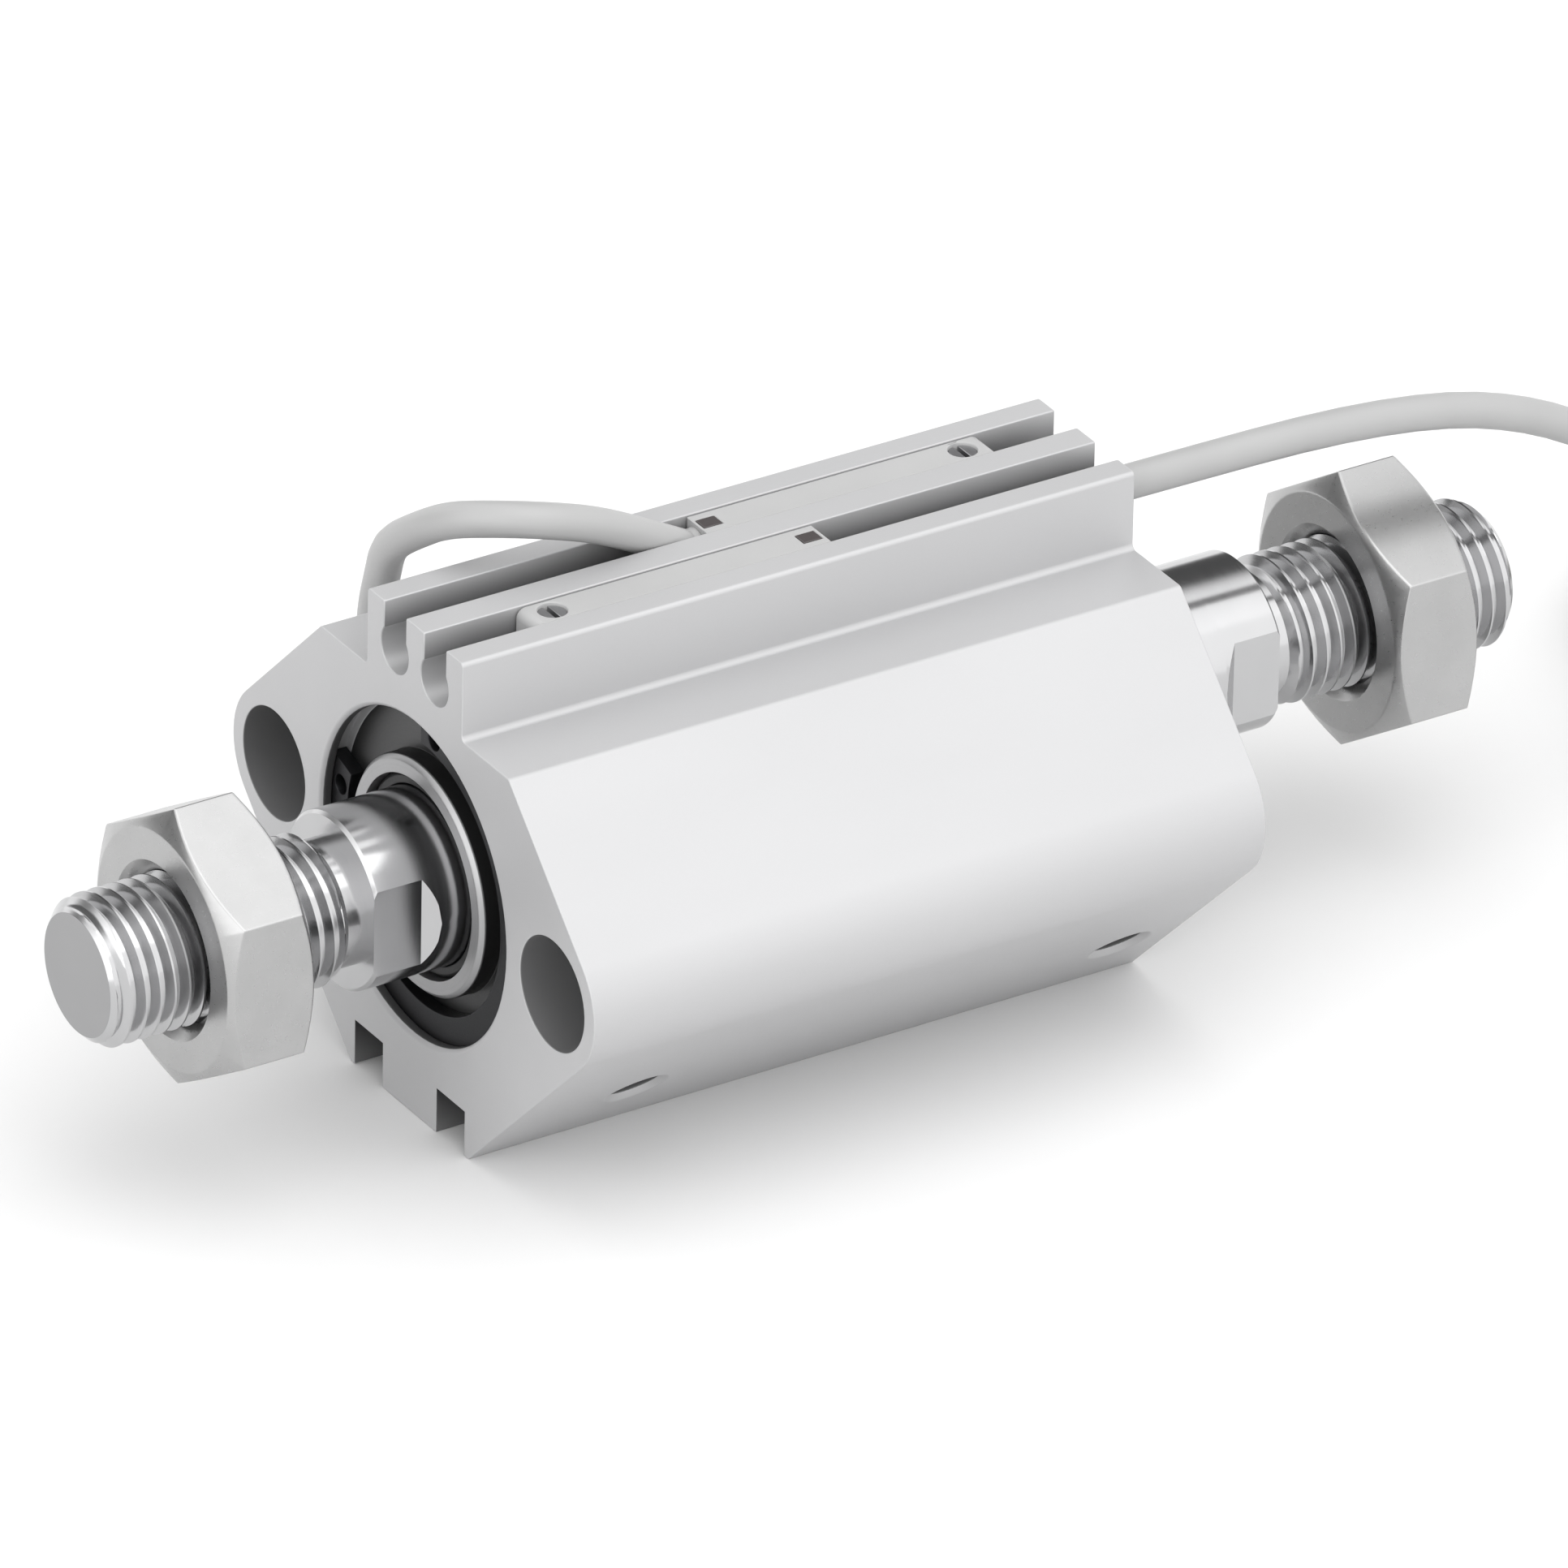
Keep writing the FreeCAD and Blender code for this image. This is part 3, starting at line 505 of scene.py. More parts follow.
def thread_tree():
    """Winds a right-hand thread of the sixty degree form as one strip whose turns share their edges."""
    tree, given = group_tree("rod_thread", {
        "Crest radius": "NodeSocketFloat", "Neck radius": "NodeSocketFloat", "Pitch": "NodeSocketFloat",
        "Depth": "NodeSocketFloat", "Chamfer": "NodeSocketFloat", "Length": "NodeSocketFloat",
        "Tip": "NodeSocketFloat", "Way": "NodeSocketFloat", "Turns": "NodeSocketFloat",
        "Vertices along": "NodeSocketInt", "Vertices across": "NodeSocketInt",
        "Material": "NodeSocketMaterial"})
    strip = add(tree, "GeometryNodeMeshGrid", {
        "Size X": 1.0, "Size Y": 1.0,
        "Vertices X": given["Vertices along"], "Vertices Y": given["Vertices across"]})
    place = add(tree, "GeometryNodeInputPosition").outputs[0]
    along, across = add(tree, "ShaderNodeSeparateXYZ", {0: place}).outputs[:2]
    share = add(tree, "ShaderNodeMath", {0: along, 1: 0.5}, operation="ADD").outputs[0]
    turn = add(tree, "ShaderNodeMath", {0: share, 1: given["Turns"]}, operation="MULTIPLY").outputs[0]
    climb = add(tree, "ShaderNodeMath", {0: turn, 1: across}, operation="ADD").outputs[0]
    climb = add(tree, "ShaderNodeMath", {0: climb, 1: 1.0}, operation="SUBTRACT").outputs[0]
    depth = add(tree, "ShaderNodeMath", {0: climb, 1: given["Pitch"]}, operation="MULTIPLY").outputs[0]
    depth = add(tree, "ShaderNodeClamp", {"Value": depth, "Min": 0.0, "Max": given["Length"]}).outputs[0]
    off_root = add(tree, "ShaderNodeMath", {0: across}, operation="ABSOLUTE").outputs[0]
    flank = add(tree, "ShaderNodeMapRange", {
        "Value": off_root, "From Min": CREST_FROM, "From Max": ROOT_TO}).outputs[0]
    cut = add(tree, "ShaderNodeMath", {0: flank, 1: given["Depth"]}, operation="MULTIPLY").outputs[0]
    formed = add(tree, "ShaderNodeMath", {0: given["Crest radius"], 1: cut}, operation="SUBTRACT").outputs[0]
    tip_radius = add(tree, "ShaderNodeMath", {0: given["Crest radius"], 1: given["Chamfer"]},
                     operation="SUBTRACT")
    tip_cone = add(tree, "ShaderNodeMath", {0: tip_radius.outputs[0], 1: depth}, operation="ADD").outputs[0]
    left = add(tree, "ShaderNodeMath", {0: given["Length"], 1: depth}, operation="SUBTRACT").outputs[0]
    neck_cone = add(tree, "ShaderNodeMath", {0: given["Neck radius"], 1: left}, operation="ADD").outputs[0]
    cone = add(tree, "ShaderNodeMath", {0: tip_cone, 1: neck_cone}, operation="MINIMUM").outputs[0]
    radius = add(tree, "ShaderNodeMath", {0: formed, 1: cone}, operation="MINIMUM").outputs[0]
    angle = add(tree, "ShaderNodeMath", {0: turn, 1: math.tau}, operation="MULTIPLY").outputs[0]
    angle = add(tree, "ShaderNodeMath", {0: angle, 1: given["Way"]}, operation="MULTIPLY").outputs[0]
    cosine = add(tree, "ShaderNodeMath", {0: angle}, operation="COSINE").outputs[0]
    sine = add(tree, "ShaderNodeMath", {0: angle}, operation="SINE").outputs[0]
    x = add(tree, "ShaderNodeMath", {0: depth, 1: given["Way"], 2: given["Tip"]},
            operation="MULTIPLY_ADD").outputs[0]
    y = add(tree, "ShaderNodeMath", {0: radius, 1: cosine}, operation="MULTIPLY").outputs[0]
    z = add(tree, "ShaderNodeMath", {0: radius, 1: sine}, operation="MULTIPLY").outputs[0]
    helix = add(tree, "ShaderNodeCombineXYZ", {0: x, 1: y, 2: z}).outputs[0]
    wound = add(tree, "GeometryNodeSetPosition", {"Geometry": strip.outputs[0], "Position": helix})
    both = add(tree, "GeometryNodeJoinGeometry", {0: given["Geometry"]})
    tree.links.new(wound.outputs[0], both.inputs[0])
    welded = add(tree, "GeometryNodeMergeByDistance", {"Geometry": both.outputs[0], "Distance": WELD_WITHIN})
    close_tree(tree, welded.outputs[0], given["Material"])
    return tree


def ring_angle(i, spread):
    """The angle of a ring's vertex; where there are flats, the same vertices always lie on them."""
    count = ROD_SEGMENTS // 2
    half, j = divmod(i, count)
    if spread is None:
        a = math.pi * j / count
    elif j <= FLAT_STEPS:
        a = spread * j / FLAT_STEPS
    elif j >= count - FLAT_STEPS:
        a = math.pi - spread * (count - j) / FLAT_STEPS
    else:
        a = spread + (math.pi - 2 * spread) * (j - FLAT_STEPS) / (count - 2 * FLAT_STEPS)
    return a + math.pi * half


def lathe(shape, rings):
    """Adds rows of faces between rings of (x, radius, half width across flats or None) about the rod axis."""
    rows = []
    for x, radius, flat in rings:
        if radius == 0:
            rows.append([shape.verts.new((x, 0, 0))])
            continue
        spread = math.acos(min(1.0, flat / radius)) if flat else None
        row = []
        for i in range(ROD_SEGMENTS):
            a = ring_angle(i, spread)
            y = radius * math.cos(a)
            if flat:
                y = max(-flat, min(flat, y))
            row.append(shape.verts.new((x, y, radius * math.sin(a))))
        rows.append(row)
    for low, high in zip(rows, rows[1:]):
        for i in range(ROD_SEGMENTS):
            j = i + 1
            corners = [low[i % len(low)], low[j % len(low)], high[j % len(high)], high[i % len(high)]]
            shape.faces.new(list(dict.fromkeys(corners)))


def mesh_of(shape, name):
    """A mesh with its faces outward from a working shape, which is freed."""
    bmesh.ops.remove_doubles(shape, verts=shape.verts, dist=MERGE_WITHIN)
    bmesh.ops.recalc_face_normals(shape, faces=shape.faces)
    mesh = bpy.data.meshes.new(name)
    shape.to_mesh(mesh)
    shape.free()
    return mesh


def shoulder_rings(tip, inward, sizes):
    """Rings from a rod's undercut to the far end of its wrench flats; inward is +1 or -1 along the rod."""
    rod = sizes.rod_radius
    shoulder = THREAD_LENGTH * MM
    neck = sizes.thread_radius - UNDERCUT_DEPTH * MM
    edge = SHOULDER_CHAMFER * MM
    flat = FLAT_HALF * MM
    flats_end = shoulder + FLAT_LENGTH * MM
    rings = [
        (shoulder - UNDERCUT_WIDTH * MM, neck, None), (shoulder, neck, None),
        (shoulder, rod - edge, flat), (shoulder + edge, rod, flat), (flats_end, rod, flat),
    ]
    for i in range(1, RUNOUT_ROWS + 1):
        share = i / RUNOUT_ROWS
        rings.append((flats_end + share * FLAT_RUNOUT * MM, rod, flat + share * (rod - flat)))
    return [(tip + inward * depth, radius, half) for depth, radius, half in rings]


def piston_rod(end, sizes, tree, material):
    """A rod with its thread, undercut and wrench flats, standing for the frame's rod."""
    node = f"{end}_piston_rod"
    low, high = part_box(node)
    piston_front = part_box("front_piston_half")[0].x
    piston_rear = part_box("rear_piston_half")[1].x
    rod = sizes.rod_radius
    if end == "front":
        tip, inward, stud_end = low.x, 1, high.x
        inner = [
            (piston_front, rod, rod), (piston_front, SPIGOT_RADIUS * MM, None),
            (piston_rear, SPIGOT_RADIUS * MM, None), (piston_rear, STUD_RADIUS * MM, None),
            (stud_end, STUD_RADIUS * MM, None), (stud_end, 0, None),
        ]
    else:
        tip, inward = high.x, -1
        hole_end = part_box("front_piston_rod")[1].x + STUD_HOLE_SPARE * MM
        inner = [
            (low.x, rod, rod), (low.x, STUD_HOLE * MM, None),
            (hole_end, STUD_HOLE * MM, None), (hole_end, 0, None),
        ]
    shape = bmesh.new()
    chamfer = THREAD_CHAMFER * MM
    lathe(shape, [(tip, 0, None), (tip, sizes.thread_radius - chamfer, None)])
    lathe(shape, shoulder_rings(tip, inward, sizes) + inner)
    obj = new_object(f"{node}_finished", mesh_of(shape, node))
    length = (THREAD_LENGTH - UNDERCUT_WIDTH) * MM
    turns = math.ceil(length / sizes.thread_pitch + SPARE_TURNS)
    grow(obj, tree, {
        "Crest radius": sizes.thread_radius, "Neck radius": sizes.thread_radius - UNDERCUT_DEPTH * MM,
        "Pitch": sizes.thread_pitch, "Depth": sizes.thread_depth, "Chamfer": chamfer, "Length": length,
        "Tip": tip, "Way": float(inward), "Turns": float(turns), "Vertices along": turns * ROD_SEGMENTS + 1,
        "Vertices across": ROWS_PER_PITCH + 1, "Material": material})
    shape = bmesh.new()
    shape.from_mesh(obj.data)
    bmesh.ops.recalc_face_normals(shape, faces=shape.faces)
    shape.to_mesh(obj.data)
    shape.free()
    sharp_shading(obj.data, ROD_SHARP)
    return finish_piece(obj, "rod", node)


# Sizes of the nuts, in millimetres and degrees; the circle on their faces is a share of half their width
NUT_TURN = {"front": 28.0, "rear": 26.0}
NUT_CIRCLE_SHARE = 0.95
NUT_CHAMFER_ANGLE = 30.0
NUT_CORNER = 0.18
NUT_BORE = 5.95
NUT_MOUTH = 7.0
NUT_SUPPORT = 0.12
NUT_SHARP = 44
# Where a nut's points lie: shares of a corner's bend from its middle, and of half a flat from its middle
CORNER_SHARES = (0.0, 0.3, 0.6, 0.85)
FLAT_SHARES = (1.0, 0.97, 0.8, 0.6, 0.4, 0.2, 0.0)


def hexagon_sector(half, corner):
    """Angles from one corner of a hexagon to the next and the reach there, the corners rounded."""
    reach = (half - corner) / math.cos(math.pi / 6)
    tangent = math.atan((half - corner) * math.tan(math.pi / 6) / half)
    bend = math.pi / 6 - tangent
    points = []
    for t in CORNER_SHARES:
        off = t * bend
        points.append((off, reach * math.cos(off) + math.sqrt(corner ** 2 - (reach * math.sin(off)) ** 2)))
    for t in FLAT_SHARES:
        points.append((math.pi / 6 - t * tangent, half / math.cos(t * tangent)))
    mirrored = [(math.pi / 3 - a, r) for a, r in reversed(points[1:-1])]
    return points + mirrored


def nut_half(reach, circle, edge):
    """Rows of (depth, radius) from a nut's bore over its face and chamfer to its side."""
    slope = math.radians(NUT_CHAMFER_ANGLE)
    rise, run = edge * math.sin(slope), edge * math.cos(slope)
    depth = (reach - circle) * math.tan(slope)
    support = NUT_SUPPORT * MM
    mouth = NUT_MOUTH * MM
    return [
        ((NUT_MOUTH - NUT_BORE) * MM, NUT_BORE * MM), (0, mouth), (0, mouth + support),
        (0, circle - edge - support), (0, circle - edge),
        (rise / 4, circle - edge / 4 + run / 4), (rise, circle + run),
        (depth - rise, reach - run), ((depth - rise) / 4 + depth / 2 + (depth + edge) / 4, reach - run / 4),
        (depth + edge, reach), (depth + edge + support, reach),
    ]


def rod_nut(end, sizes, material):
    """A hexagon nut with chamfered faces and rounded edges, standing for the frame's nut."""
    node = f"{end}_rod_nut"
    low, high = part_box(node)
    half = sizes.nut_across / 2
    circle = NUT_CIRCLE_SHARE * half
    columns = []
    for k in range(6):
        for a, reach in hexagon_sector(half, NUT_CORNER * MM):
            side = nut_half(reach, circle, sizes.nut_edge)
            rows = [(low.x + d, r) for d, r in side] + [(high.x - d, r) for d, r in reversed(side)]
            columns.append((math.radians(NUT_TURN[end] + 60 * k) + a, rows))
    shape = bmesh.new()
    grid = [[shape.verts.new((x, r * math.cos(a), r * math.sin(a))) for x, r in rows] for a, rows in columns]
    for left, right in zip(grid, grid[1:] + grid[:1]):
        for i in range(len(left)):
            j = (i + 1) % len(left)
            shape.faces.new((left[i], left[j], right[j], right[i]))
    obj = new_object(f"{node}_finished", mesh_of(shape, node), material)
    sharp_shading(obj.data, NUT_SHARP)
    return finish_piece(obj, "rod", node)


# Routes of the leads, in millimetres, close to the frame's: out of the switch, down, and on to the coil
NEAR_ROUTE = [
    (35.7, -2.85, 18.3), (59.4, -2.85, 18.3), (85.0, -3.5, 18.4), (99.0, -4.2, 14.4),
    (109.0, -5.6, 6.4), (116.0, -7.3, -3.4), (124.0, -8.9, -11.2), (133.8, -9.6, -15.0),
]
FAR_ROUTE = [
    (25.5, 2.85, 19.6), (22.6, 2.85, 21.2), (17.5, 2.6, 24.0), (13.0, 3.0, 25.4),
    (9.6, 5.0, 25.5), (7.6, 8.1, 24.5), (7.2, 11.8, 21.9), (8.1, 16.1, 18.8),
    (10.0, 20.4, 15.2), (12.1, 24.4, 11.0), (13.7, 28.0, 6.0), (15.3, 31.0, 0.2),
    (17.4, 33.9, -5.9), (20.9, 37.0, -11.2), (26.3, 40.8, -14.6), (31.6, 44.67, -15.0),
]
LEADS = {
    "near": {"route": NEAR_ROUTE, "centre": (134.0, 7.4), "entry": 270, "winds": 1, "sweep": 1325, "tie": 40},
    "far": {"route": FAR_ROUTE, "centre": (45.0, 34.2), "entry": 142, "winds": -1, "sweep": 1312, "tie": 60},
}
# The put-away turns, in millimetres and degrees: middle radius, top, step between points, and lane changes
COIL_RADIUS = 15.6
COIL_TOP = -13.6
COIL_STEP = 15
LANE = 2.8
LANE_CHANGE = 30
INWARD_AT = 315
DOWN_AT = 360 + 285
OUTWARD_AT = 720 + 255
# How far out the control points of a cord's spline stand, as a factor on the radius that it draws
CONTROL_REACH = 8 / (6 + 2 * math.cos(math.radians(COIL_STEP)))
# The straight tail after the turns, and where its points lie on it
TAIL_LENGTH = 7.6
TAIL_SHARES = (0.1, 0.5, 1.0)
# The order of a cord's spline, and the steps along it between its points and round a quarter of it
CORD_ORDER = 3
CORD_STEPS = 6
CORD_ROUND_STEPS = 6


def eased(angle, start):
    """Nought before a lane change, one after it, and a smooth step between."""
    t = max(0.0, min(1.0, (angle - start) / LANE_CHANGE))
    return t * t * (3 - 2 * t)


def coil_point(lead, swept):
    """A control point of the put-away turns: outer and inner lane on top, then inner and outer below."""
    radius = COIL_RADIUS + LANE / 2 - LANE * eased(swept, INWARD_AT) + LANE * eased(swept, OUTWARD_AT)
    height = COIL_TOP - LANE / 2 - LANE * eased(swept, DOWN_AT)
    a = math.radians(lead["entry"] + lead["winds"] * swept)
    x, y = lead["centre"]
    return (x + radius * CONTROL_REACH * math.cos(a), y + radius * CONTROL_REACH * math.sin(a), height)


def coil_exit(lead):
    """Where the jacket ends, and the way it points."""
    a = math.radians(lead["entry"] + lead["winds"] * lead["sweep"])
    x, y = lead["centre"]
    radius = COIL_RADIUS + LANE / 2
    way = Vector((-math.sin(a), math.cos(a), 0)) * lead["winds"]
    leave = Vector((x + radius * math.cos(a), y + radius * math.sin(a), COIL_TOP - 1.5 * LANE))
    return leave, way


def nurbs(name, points, radius, material):
    """A round cord on one smooth spline that a route's points guide, given in millimetres."""
    curve = bpy.data.curves.new(name, "CURVE")
    curve.dimensions = "3D"
    curve.bevel_depth = radius
    curve.bevel_resolution = CORD_ROUND_STEPS
    curve.resolution_u = CORD_STEPS
    curve.use_fill_caps = True
    spline = curve.splines.new("NURBS")
    spline.points.add(len(points) - 1)
    for point, place in zip(spline.points, points):
        point.co = (*[c * MM for c in place], 1)
    spline.order_u = CORD_ORDER
    spline.use_endpoint_u = True
    curve.materials.append(material)
    obj = bpy.data.objects.new(name, curve)
    bpy.context.scene.collection.objects.link(obj)
    return obj


def spline_length(obj):
    """The length of a cord's own line."""
    bare = obj.data.copy()
    bare.bevel_depth = 0
    probe = bpy.data.objects.new("probe", bare)
    bpy.context.scene.collection.objects.link(probe)
    mesh = evaluated_mesh(probe)
    line = [v.co.copy() for v in mesh.vertices]
    bpy.data.objects.remove(probe)
    bpy.data.curves.remove(bare)
    bpy.data.meshes.remove(mesh)
    return sum((b - a).length for a, b in zip(line, line[1:]))


def lead_cord(side, sizes, material):
    """A switch lead: its route, its put-away turns and its straight tail, as one cord."""
    lead = LEADS[side]
    steps = range(COIL_STEP, lead["sweep"] - COIL_STEP // 2, COIL_STEP)
    leave, way = coil_exit(lead)
    points = lead["route"] + [coil_point(lead, s) for s in steps]
    points += [tuple(leave + way * (TAIL_LENGTH * share)) for share in TAIL_SHARES]
    return nurbs(f"{side}_lead_cord", points, sizes.lead_radius, material)


# The ties: sizes of the strap and its locking head in millimetres, steps round its corners and edges,
# and the angle in degrees above which an edge stays sharp
TIE_THICKNESS = 0.7
TIE_WIDTH = 2.4
TIE_EDGE = 0.15
TIE_CLEARANCE = 0.1
TIE_HEAD = (1.6, 3.8, 2.8)
TIE_HEAD_EDGE = 0.3
TIE_CORNER_STEPS = 8
TIE_EDGE_STEPS = 3
TIE_SHARP = 45


def strap_tree():
    """A strap bent into a loop with round corners: a section drawn round a path."""
    tree, given = group_tree("tie_strap", {
        "Height": "NodeSocketFloat", "Width": "NodeSocketFloat", "Corner": "NodeSocketFloat",
        "Strap width": "NodeSocketFloat", "Strap thickness": "NodeSocketFloat",
        "Material": "NodeSocketMaterial"})
    loop = add(tree, "GeometryNodeCurvePrimitiveQuadrilateral",
               {"Width": given["Width"], "Height": given["Height"]})
    bent = add(tree, "GeometryNodeFilletCurve",
               {"Curve": loop.outputs[0], "Radius": given["Corner"], "Count": TIE_CORNER_STEPS}, mode="POLY")
    flat = add(tree, "GeometryNodeCurvePrimitiveQuadrilateral",
               {"Width": given["Strap thickness"], "Height": given["Strap width"]})
    section = add(tree, "GeometryNodeFilletCurve",
                  {"Curve": flat.outputs[0], "Radius": TIE_EDGE * MM, "Count": TIE_EDGE_STEPS}, mode="POLY")
    strap = add(tree, "GeometryNodeCurveToMesh",
                {"Curve": bent.outputs[0], "Profile Curve": section.outputs[0]})
    close_tree(tree, strap.outputs[0], given["Material"])
    return tree


def lead_tie(side, tree, material):
    """The strap round a coil's turns with its locking head, standing for the frame's tie."""
    lead = LEADS[side]
    inside = 2 * LANE + 2 * TIE_CLEARANCE
    loop = (inside + TIE_THICKNESS) * MM
    mesh = bpy.data.meshes.new("tie")
    obj = new_object(f"{side}_tie_strap", mesh)
    grow(obj, tree, {
        "Height": loop, "Width": loop, "Corner": (LANE / 2 + TIE_THICKNESS / 2) * MM,
        "Strap width": TIE_WIDTH * MM, "Strap thickness": TIE_THICKNESS * MM, "Material": material})
    shape = bmesh.new()
    shape.from_mesh(obj.data)
    upright = Matrix.Rotation(math.pi / 2, 4, "X")
    bmesh.ops.transform(shape, matrix=upright, verts=shape.verts)
    head_out = inside / 2 + TIE_THICKNESS + TIE_HEAD[0] / 2
    head_size = Matrix.Diagonal([s * MM for s in TIE_HEAD] + [1])
    head = bmesh.ops.create_cube(shape, matrix=Matrix.Translation((head_out * MM, 0, 0)) @ head_size)
    edges = list({e for v in head["verts"] for e in v.link_edges})
    bmesh.ops.bevel(shape, geom=edges, offset=TIE_HEAD_EDGE * MM, segments=TIE_EDGE_STEPS, profile=0.5,
                    affect="EDGES")
    x, y = lead["centre"]
    middle = Matrix.Translation((x * MM, y * MM, (COIL_TOP - LANE) * MM))
    turn = Matrix.Rotation(math.radians(lead["tie"]), 4, "Z")
    out = Matrix.Translation((COIL_RADIUS * MM, 0, 0))
    bmesh.ops.transform(shape, matrix=middle @ turn @ out, verts=shape.verts)
    bmesh.ops.recalc_face_normals(shape, faces=shape.faces)
    shape.to_mesh(obj.data)
    shape.free()
    obj.data.materials.clear()
    obj.data.materials.append(material)
    sharp_shading(obj.data, TIE_SHARP)
    return finish_piece(obj, "cylinder", f"{side}_lead_tie")


# The cores: sizes in millimetres, the angle that they spread by, how far off the middle they start in radii,
# where on their length they bend, and the share of their droop that is reached there
CORE_RADIUS = 0.5
CORE_LENGTH = 15.0
CORE_SPREAD = 7.0
CORE_OFF = 1.05
CORE_BENDS = (0.3, 0.65)
CORE_DROOP = 0.5
CORE_DROOP_SHARE = 0.4
CORE_SHARP = 60
# Their stripped strands: how deep they start in a core, and the droop at their end as a share of the core's
STRAND_RADIUS = 0.27
STRAND_LENGTH = 5.0
STRAND_SUNK = 0.5
STRAND_DROOP_SHARE = 0.6


def joined(name, objects):
    """Several mesh objects made into one, with their materials kept."""
    shape = bmesh.new()
    mesh = bpy.data.meshes.new(name)
    for index, obj in enumerate(objects):
        part = evaluated_mesh(obj)
        start = len(shape.faces)
        shape.from_mesh(part)
        shape.faces.ensure_lookup_table()
        for face in shape.faces[start:]:
            face.material_index = index
        mesh.materials.append(obj.data.materials[0])
        bpy.data.objects.remove(obj)
        bpy.data.meshes.remove(part)
    shape.to_mesh(mesh)
    shape.free()
    return new_object(name, mesh)


def lead_cores(side, materials):
    """The two cores beyond the jacket, each with its stripped strands, standing for the frame's cores."""
    leave, way = coil_exit(LEADS[side])
    out = Vector((way.y, -way.x, 0))
    start = leave + way * TAIL_LENGTH
    drop = Vector((0, 0, -CORE_DROOP))
    wires = []
    for sign, insulation in zip((-1, 1), materials[:2]):
        a = math.radians(sign * CORE_SPREAD)
        ahead = way * math.cos(a) + out * math.sin(a)
        foot = start + out * (sign * CORE_RADIUS * CORE_OFF)
        end = foot + ahead * CORE_LENGTH + drop
        bend = [foot, foot + way * (CORE_LENGTH * CORE_BENDS[0]),
                foot + ahead * (CORE_LENGTH * CORE_BENDS[1]) + drop * CORE_DROOP_SHARE, end]
        bare = [end - ahead * STRAND_SUNK,
                end + ahead * (STRAND_LENGTH / 2) + drop * (STRAND_DROOP_SHARE / 2),
                end + ahead * STRAND_LENGTH + drop * STRAND_DROOP_SHARE]
        wires.append(nurbs(f"{side}_core", [tuple(p) for p in bend], CORE_RADIUS * MM, insulation))
        wires.append(nurbs(f"{side}_strands", [tuple(p) for p in bare], STRAND_RADIUS * MM, materials[2]))
    obj = joined(f"{side}_lead_cores_finished", wires)
    sharp_shading(obj.data, CORE_SHARP)
    return finish_piece(obj, "cylinder", f"{side}_lead_cores")


class CYLINDER_OT_tube(bpy.types.Operator):
    """Dress the extruded tube"""
    bl_idname = "cylinder.tube"
    bl_label = "Tube"

    def execute(self, context):
        sizes = context.scene.cylinder_sizes
        softened("cylinder_tube", sizes.edge, anodised_extrusion(context.scene.cylinder_colours.tube))
        return {"FINISHED"}


class CYLINDER_OT_covers(bpy.types.Operator):
    """Dress the rod covers, their rings, seals and bushes at both ends"""
    bl_idname = "cylinder.covers"
    bl_label = "Covers"

    def execute(self, context):
        sizes = context.scene.cylinder_sizes
        colours = context.scene.cylinder_colours
        cover = turned_metal(
            "anodised aluminium, turned", colours.cover, roughness=0.34, painted_shade_from=FLANGE_SHADE_FROM)
        ring = phosphated_steel(colours.ring)
        rubber = moulded("nitrile rubber, moulded", srgb("222223"), roughness=0.5, size=0.2, depth=0.006)
        urethane = moulded("polyurethane, cast", srgb("8A7F66"), roughness=0.42, size=0.3, depth=0.004)
        bronze = sintered("bronze, sintered", srgb("A9824F"), metallic=0.9, roughness=0.35)
        for end in ENDS:
            softened(f"{end}_rod_cover", sizes.small_edge, cover)
            softened(f"{end}_retaining_ring", sizes.small_edge, ring)
            softened(f"{end}_rod_seal", sizes.small_edge, rubber)
            paint(f"{end}_cover_o_ring", rubber)
            paint(f"{end}_rod_bush", bronze)
            paint(f"{end}_bumper", urethane)
        return {"FINISHED"}


class CYLINDER_OT_piston(bpy.types.Operator):
    """Dress the piston, its magnet and its running rings"""
    bl_idname = "cylinder.piston"
    bl_label = "Piston"

    def execute(self, context):
        aluminium = turned_metal("aluminium, turned", srgb("C4C4C6"), roughness=0.3)
        ferrite = sintered("ferrite, bonded", srgb("3A3A3C"), metallic=0.4, roughness=0.4)
        resin = moulded("phenolic resin, machined", srgb("8C7A58"), roughness=0.5, size=0.3, depth=0.004)
        rubber = moulded("nitrile rubber, ground", srgb("242425"), roughness=0.48, size=0.25, depth=0.004)
        for end in ENDS:
            paint(f"{end}_piston_half", aluminium)
        paint("magnet_ring", ferrite)
        paint("wear_ring", resin)
        paint("piston_seal", rubber)
        paint("rod_gasket", rubber)
        return {"FINISHED"}


class CYLINDER_OT_rods(bpy.types.Operator):
    """Make both rods with their threads"""
    bl_idname = "cylinder.rods"
    bl_label = "Rods"

    def execute(self, context):
        tree = thread_tree()
        chrome = hard_chrome(context.scene.cylinder_colours.rod)
        for end in ENDS:
            piston_rod(end, context.scene.cylinder_sizes, tree, chrome)
        return {"FINISHED"}


class CYLINDER_OT_nuts(bpy.types.Operator):
    """Make both rod nuts"""
    bl_idname = "cylinder.nuts"
    bl_label = "Nuts"

    def execute(self, context):
        zinc = plated_metal("zinc plate on steel, satin", context.scene.cylinder_colours.nut)
        for end in ENDS:
            rod_nut(end, context.scene.cylinder_sizes, zinc)
        return {"FINISHED"}


